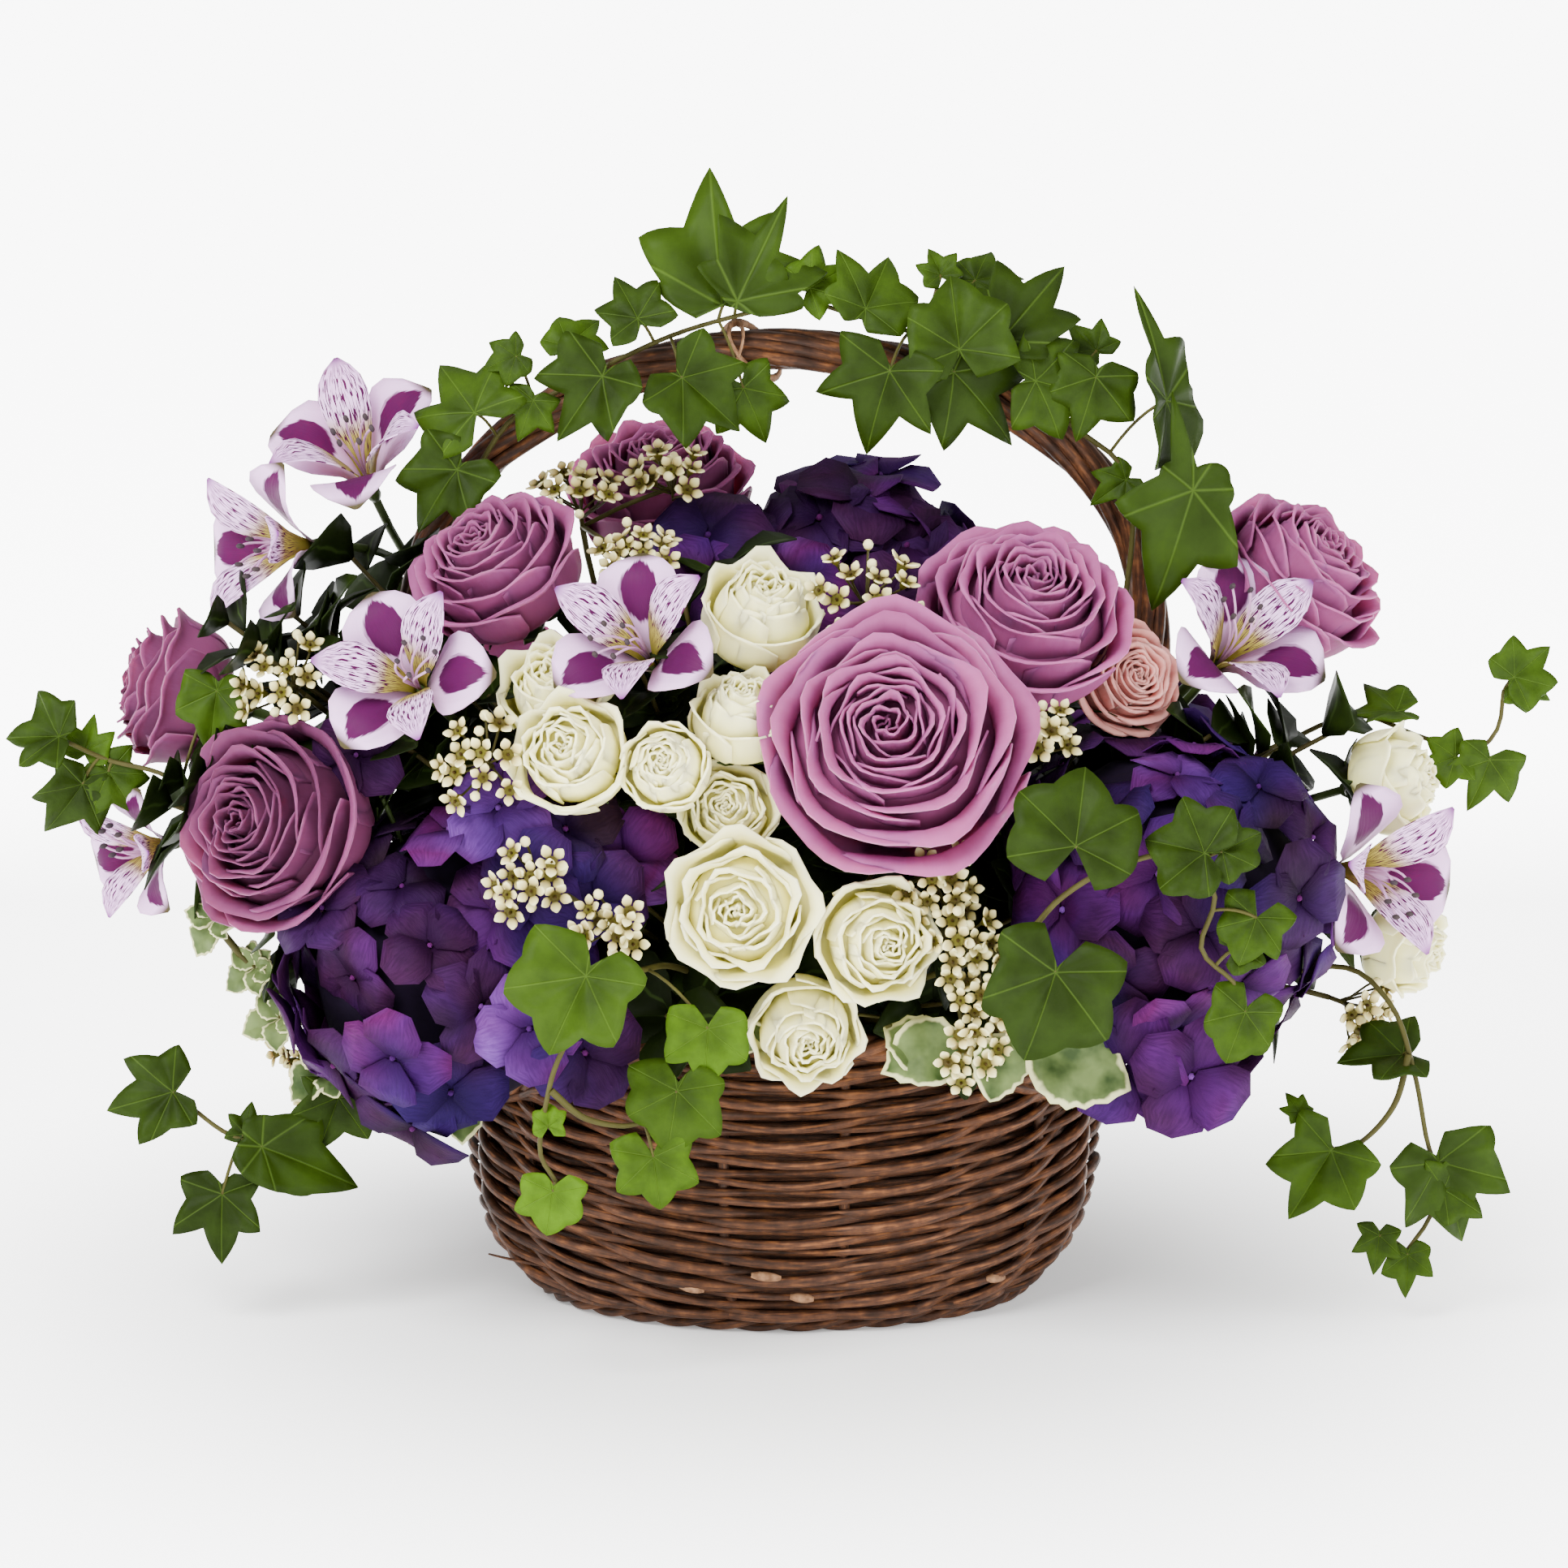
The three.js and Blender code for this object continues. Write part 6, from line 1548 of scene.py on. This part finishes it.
def fill_sprigs(settings, leaf_finish, vine_finish):
    """Sprigs between the blooms, their near-black leaves painted shade, from the foam out to oval
    domes and to some set tips.
    """
    rng = np.random.default_rng(settings.seed + 9)
    skins = []
    for wide, deep, foot, rise, share in SPRIG_DOMES:
        count = int(settings.sprigs * share)
        for i in range(count):
            height = 1 - 0.92 * (i + 0.5) / count
            level = np.sqrt(1 - height ** 2)
            angle = GOLDEN_ANGLE * i
            tip = np.array([wide * level * np.cos(angle), deep * level * np.sin(angle),
                            foot + rise * height]) * rng.uniform(0.88, 1.0)
            skins += sprig(tip, rng)
    for tip in SPRIG_TIPS:
        skins += sprig(np.array(tip, float), rng)
    make_piece("dark_sprigs", skins, [leaf_finish, vine_finish])


# ---- the stage -----------------------------------------------------------------------------

# Glow of the floor right under the basket, kept low to paint a contact shadow.
CONTACT_SHADOW_GLOW = 0.3
# Place and width of each lamp and the place they look at, in metres.
KEY_LAMP = ((-0.9, -1.5, 1.9), 1.4)
FILL_LAMP = ((1.6, -1.2, 1.1), 1.6)
LAMP_AIM = (0, 0, 0.15)
# The camera's place and the place it looks at, in metres, and its lens and sensor in mm.
CAMERA_PLACE = (0.0, -1.6742, 0.4762)
CAMERA_AIM = (0.0, 0.0, 0.181)
CAMERA_LENS, CAMERA_SENSOR = 110.87, 36.0


def aim(thing, place, target):
    """Puts a lamp or the camera in its place, looking at the target."""
    way = Vector(target) - Vector(place)
    thing.location = place
    thing.rotation_euler = way.to_track_quat("-Z", "Y").to_euler()


def set_stage(settings):
    """A wide pale floor, a soft key, a soft fill, a pale sky and the camera."""
    span = settings.floor_span
    corner = np.array([(-1, -1), (1, -1), (1, 1), (-1, 1)]) * span
    mesh = bpy.data.meshes.new("pale_floor")
    mesh.from_pydata([(x, y, 0.0) for x, y in corner], [], [(0, 1, 2, 3)])
    floor = bpy.data.objects.new("pale_floor", mesh)
    mesh.materials.append(paper_finish("pale_paper", settings.floor_colour, CONTACT_SHADOW_GLOW,
                                       settings.glow, settings.backdrop))
    bpy.context.scene.collection.objects.link(floor)
    world = bpy.data.worlds.new("pale_sky")
    world.use_nodes = True
    inputs = world.node_tree.nodes["Background"].inputs
    inputs["Color"].default_value = settings.sky_colour
    inputs["Strength"].default_value = settings.sky
    bpy.context.scene.world = world
    for name, (place, size), power in (("key_lamp", KEY_LAMP, settings.key),
                                       ("fill_lamp", FILL_LAMP, settings.fill)):
        lamp = bpy.data.lights.new(name, "AREA")
        lamp.shape, lamp.size, lamp.energy = "DISK", size, power
        thing = bpy.data.objects.new(name, lamp)
        bpy.context.scene.collection.objects.link(thing)
        aim(thing, place, LAMP_AIM)
    camera = bpy.data.objects.new("camera", bpy.data.cameras.new("camera"))
    camera.data.lens, camera.data.sensor_width = CAMERA_LENS, CAMERA_SENSOR
    camera.data.clip_end = 100.0
    bpy.context.scene.collection.objects.link(camera)
    aim(camera, CAMERA_PLACE, CAMERA_AIM)
    bpy.context.scene.camera = camera


# ---- the add-on ----------------------------------------------------------------------------


# What all settings for a colour have in common, and all settings for a length.
COLOUR = {"size": 4, "min": 0.0, "max": 1.0, "subtype": "COLOR"}
LENGTH = {"min": 0.0, "precision": 5, "unit": "LENGTH"}


class BasketSettings(PropertyGroup):
    """Sizes and colours of the woven basket."""

    seed: IntProperty(name="Seed", description="Which random weave", default=7)
    pitch: FloatProperty(name="Pitch", default=3.5 * MM, min=1.0 * MM, precision=5,
                         unit="LENGTH", description="From row to row of the wall")
    climb: FloatProperty(name="Climb", default=24.0 * MM, **LENGTH,
                         description="Rise of a row to the basket's ends")
    stakes: IntProperty(name="Stakes", description="Stakes round the wall", default=16, min=8)
    foot: FloatProperty(name="Foot", default=6.0 * MM, **LENGTH,
                        description="Height of the lowest row")
    swing: FloatProperty(name="Swing", default=3.0 * MM, **LENGTH,
                         description="How far a row swings in and out")
    weaver: FloatProperty(name="Weaver", default=1.75 * MM, **LENGTH,
                          description="A weaver's half thickness")
    strands: IntProperty(name="Strands", description="Strands in the rim", default=4, min=2)
    turns: IntProperty(name="Turns", description="Turns of the rim's strands", default=18)
    handle_rods: IntProperty(name="Handle rods", description="Rods in the handle", default=8,
                             min=1)
    handle_turns: FloatProperty(name="Handle turns", description="Turns of the handle's rods",
                                default=4.0)
    dark_willow: FloatVectorProperty(name="Dark willow", default=colour(0x22160F), **COLOUR,
                                     description="Darkest streaks of the willow")
    pale_willow: FloatVectorProperty(name="Pale willow", default=colour(0x7C4E2E), **COLOUR,
                                     description="Palest streaks of the willow")


class BloomSettings(PropertyGroup):
    """Numbers and colours of flowers, leaves and sprigs."""

    seed: IntProperty(name="Seed", description="Which random blooms", default=21)
    florets: IntProperty(name="Florets", description="Florets on a whole ball", default=44, min=1)
    waxflowers: IntProperty(name="Waxflowers", description="Flowers in a cluster", default=13,
                            min=1)
    # The sprigs' near-black leaves are painted shade between the blooms.
    sprigs: IntProperty(name="Sprigs", description="Dark sprigs between the blooms",
                        default=100, min=0)
    rose_face: FloatVectorProperty(name="Rose face", default=colour(0x7E3E66), **COLOUR,
                                   description="A lavender petal above its cup")
    rose_lip: FloatVectorProperty(name="Rose lip", default=colour(0x8A4874), **COLOUR,
                                  description="A lavender petal at its lip")
    cream: FloatVectorProperty(name="Cream", default=colour(0xF4EEB2), **COLOUR,
                               description="A spray rose's petal at its lip")
    violet: FloatVectorProperty(name="Violet", default=colour(0x421652), **COLOUR,
                                description="Main colour of the hydrangea's sepals")
    blue: FloatVectorProperty(name="Blue", default=colour(0x221450), **COLOUR,
                              description="Bluer patches on the hydrangea's heads")
    old_and_shaded_ivy: FloatVectorProperty(name="Old ivy", default=colour(0x172304), **COLOUR,
                                 description="The darkest ivy leaves")
    young_ivy: FloatVectorProperty(name="Young ivy", default=colour(0x44640A), **COLOUR,
                                   description="The brightest ivy leaves")


class StageSettings(PropertyGroup):
    """The floor and the light."""

    floor_span: FloatProperty(name="Floor", description="Half the floor's side", default=40.0,
                              min=1.0, unit="LENGTH")
    floor_colour: FloatVectorProperty(name="Floor colour", default=colour(0xFAFAFA), **COLOUR,
                                      description="Colour of the floor's paper")
    sky_colour: FloatVectorProperty(name="Sky colour", default=colour(0xFFFFFF), **COLOUR,
                                    description="Colour of the sky")
    glow: FloatProperty(name="Glow", description="Light of the floor round the basket",
                        default=4.5, min=0.0)
    backdrop: FloatProperty(name="Backdrop", description="Light of the floor behind",
                            default=8.0, min=0.0)
    sky: FloatProperty(name="Sky", description="Strength of the sky's light", default=0.95,
                       min=0.0)
    key: FloatProperty(name="Key", description="Power of the key lamp", default=130.0, min=0.0,
                       unit="POWER")
    fill: FloatProperty(name="Fill", description="Power of the fill lamp", default=30.0, min=0.0,
                        unit="POWER")


def green_finish():
    """Fresh green stems."""
    return plain_finish("fresh_stem", 0x1C2810, 0x3C4A22, 0.5)


def vine_finish():
    """Thin woody vines."""
    return plain_finish("thin_vine", 0x2A2010, 0x4A4A20, 0.55)


class FLOWERBASKET_OT_weave(Operator):
    """Weave the base, the wall and the rim, and finish the liner and foam"""

    bl_idname = "flowerbasket.weave"
    bl_label = "Weave Basket"

    def execute(self, context):
        settings = context.scene.basket_settings
        finishes = [willow_finish(settings.dark_willow, settings.pale_willow), pith_finish()]
        weave_basket(settings, finishes)
        twist_handle(settings, finishes)
        for node, finish in (("liner", plastic_finish()), ("foam", foam_finish())):
            for slot in bpy.data.objects[node].material_slots:
                slot.material = finish
        return {"FINISHED"}


class FLOWERBASKET_OT_roses(Operator):
    """Open the lavender roses"""

    bl_idname = "flowerbasket.roses"
    bl_label = "Open Roses"

    def execute(self, context):
        settings = context.scene.bloom_settings
        lavender = rose_finish("lavender_petal", 0x8A3E66, 0x86426A, settings.rose_face,
                               settings.rose_lip)
        peach = rose_finish("peach_petal", 0x8A4A44, 0xA85E56, 0xB8726A, 0xC88A82)
        open_roses(settings, lavender, peach, green_finish())
        return {"FINISHED"}


class FLOWERBASKET_OT_spray_roses(Operator):
    """Open the cream spray roses"""

    bl_idname = "flowerbasket.spray_roses"
    bl_label = "Open Spray Roses"

    def execute(self, context):
        settings = context.scene.bloom_settings
        open_spray_roses(settings, cream_finish(settings.cream), green_finish())
        return {"FINISHED"}


class FLOWERBASKET_OT_hydrangeas(Operator):
    """Head the hydrangeas with florets"""

    bl_idname = "flowerbasket.hydrangeas"
    bl_label = "Head Hydrangeas"

    def execute(self, context):
        settings = context.scene.bloom_settings
        # Near-black heart finish: painted shade inside the hydrangea heads.
        heart = plain_finish("shaded_floret_heart", 0x0A0410, 0x180A24, 0.9)
        sepal = sepal_finish(settings.violet, settings.blue)
        head_hydrangeas(settings, sepal, heart, green_finish())
        return {"FINISHED"}


class FLOWERBASKET_OT_alstroemeria(Operator):
    """Open the alstroemeria"""

    bl_idname = "flowerbasket.alstroemeria"
    bl_label = "Open Alstroemeria"

    def execute(self, context):
        open_alstroemeria(context.scene.bloom_settings, [
            broad_petal_finish(), narrow_petal_finish(),
            plain_finish("stamen_stalk", 0x80506C, 0xB88CB0, 0.5),
            plain_finish("anther", 0x2C2430, 0x4C4428, 0.7), green_finish()])
        return {"FINISHED"}


class FLOWERBASKET_OT_waxflowers(Operator):
    """Sprinkle the waxflowers"""

    bl_idname = "flowerbasket.waxflowers"
    bl_label = "Sprinkle Waxflowers"

    def execute(self, context):
        sprinkle_waxflowers(context.scene.bloom_settings, [
            wax_finish(), plain_finish("wax_cup", 0x2E1E08, 0x565218, 0.5), vine_finish()])
        return {"FINISHED"}


class FLOWERBASKET_OT_foliage(Operator):
    """Trail the ivy, edge the greens and fill the gaps with sprigs"""

    bl_idname = "flowerbasket.foliage"
    bl_label = "Trail Foliage"

    def execute(self, context):
        settings, vine = context.scene.bloom_settings, vine_finish()
        trail_ivy(settings, ivy_finish(settings.old_and_shaded_ivy, settings.young_ivy), vine)
        edge_greens(settings, edged_finish(), vine)
        fill_sprigs(settings, shaded_leaf_finish(), vine)
        return {"FINISHED"}


class FLOWERBASKET_OT_stage(Operator):
    """Set the floor, the light and the camera"""

    bl_idname = "flowerbasket.stage"
    bl_label = "Set Stage"

    def execute(self, context):
        set_stage(context.scene.stage_settings)
        return {"FINISHED"}


OPERATORS = (FLOWERBASKET_OT_weave, FLOWERBASKET_OT_roses, FLOWERBASKET_OT_spray_roses,
             FLOWERBASKET_OT_hydrangeas, FLOWERBASKET_OT_alstroemeria,
             FLOWERBASKET_OT_waxflowers, FLOWERBASKET_OT_foliage, FLOWERBASKET_OT_stage)
SETTINGS = {"basket_settings": BasketSettings, "bloom_settings": BloomSettings,
            "stage_settings": StageSettings}


class FLOWERBASKET_PT_panel(Panel):
    """The basket's sizes and steps in the 3D view's sidebar."""

    bl_label = "Flower Basket"
    bl_space_type = "VIEW_3D"
    bl_region_type = "UI"
    bl_category = "Flower Basket"

    def draw(self, context):
        for name, group in SETTINGS.items():
            box = self.layout.box()
            for field in group.__annotations__:
                box.prop(getattr(context.scene, name), field)
        for operator in OPERATORS:
            self.layout.operator(operator.bl_idname)


CLASSES = (*SETTINGS.values(), *OPERATORS, FLOWERBASKET_PT_panel)


def register():
    """Registers the settings, the steps and the panel."""
    for kind in CLASSES:
        bpy.utils.register_class(kind)
    for name, group in SETTINGS.items():
        setattr(bpy.types.Scene, name, PointerProperty(type=group))


def unregister():
    """Takes the panel, the steps and the settings away again."""
    for name in SETTINGS:
        delattr(bpy.types.Scene, name)
    for kind in reversed(CLASSES):
        bpy.utils.unregister_class(kind)


def main():
    """Registers the add-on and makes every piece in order."""
    register()
    for operator in OPERATORS:
        group, name = operator.bl_idname.split(".")
        getattr(getattr(bpy.ops, group), name)()
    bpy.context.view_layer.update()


if __name__ == "__main__":
    main()
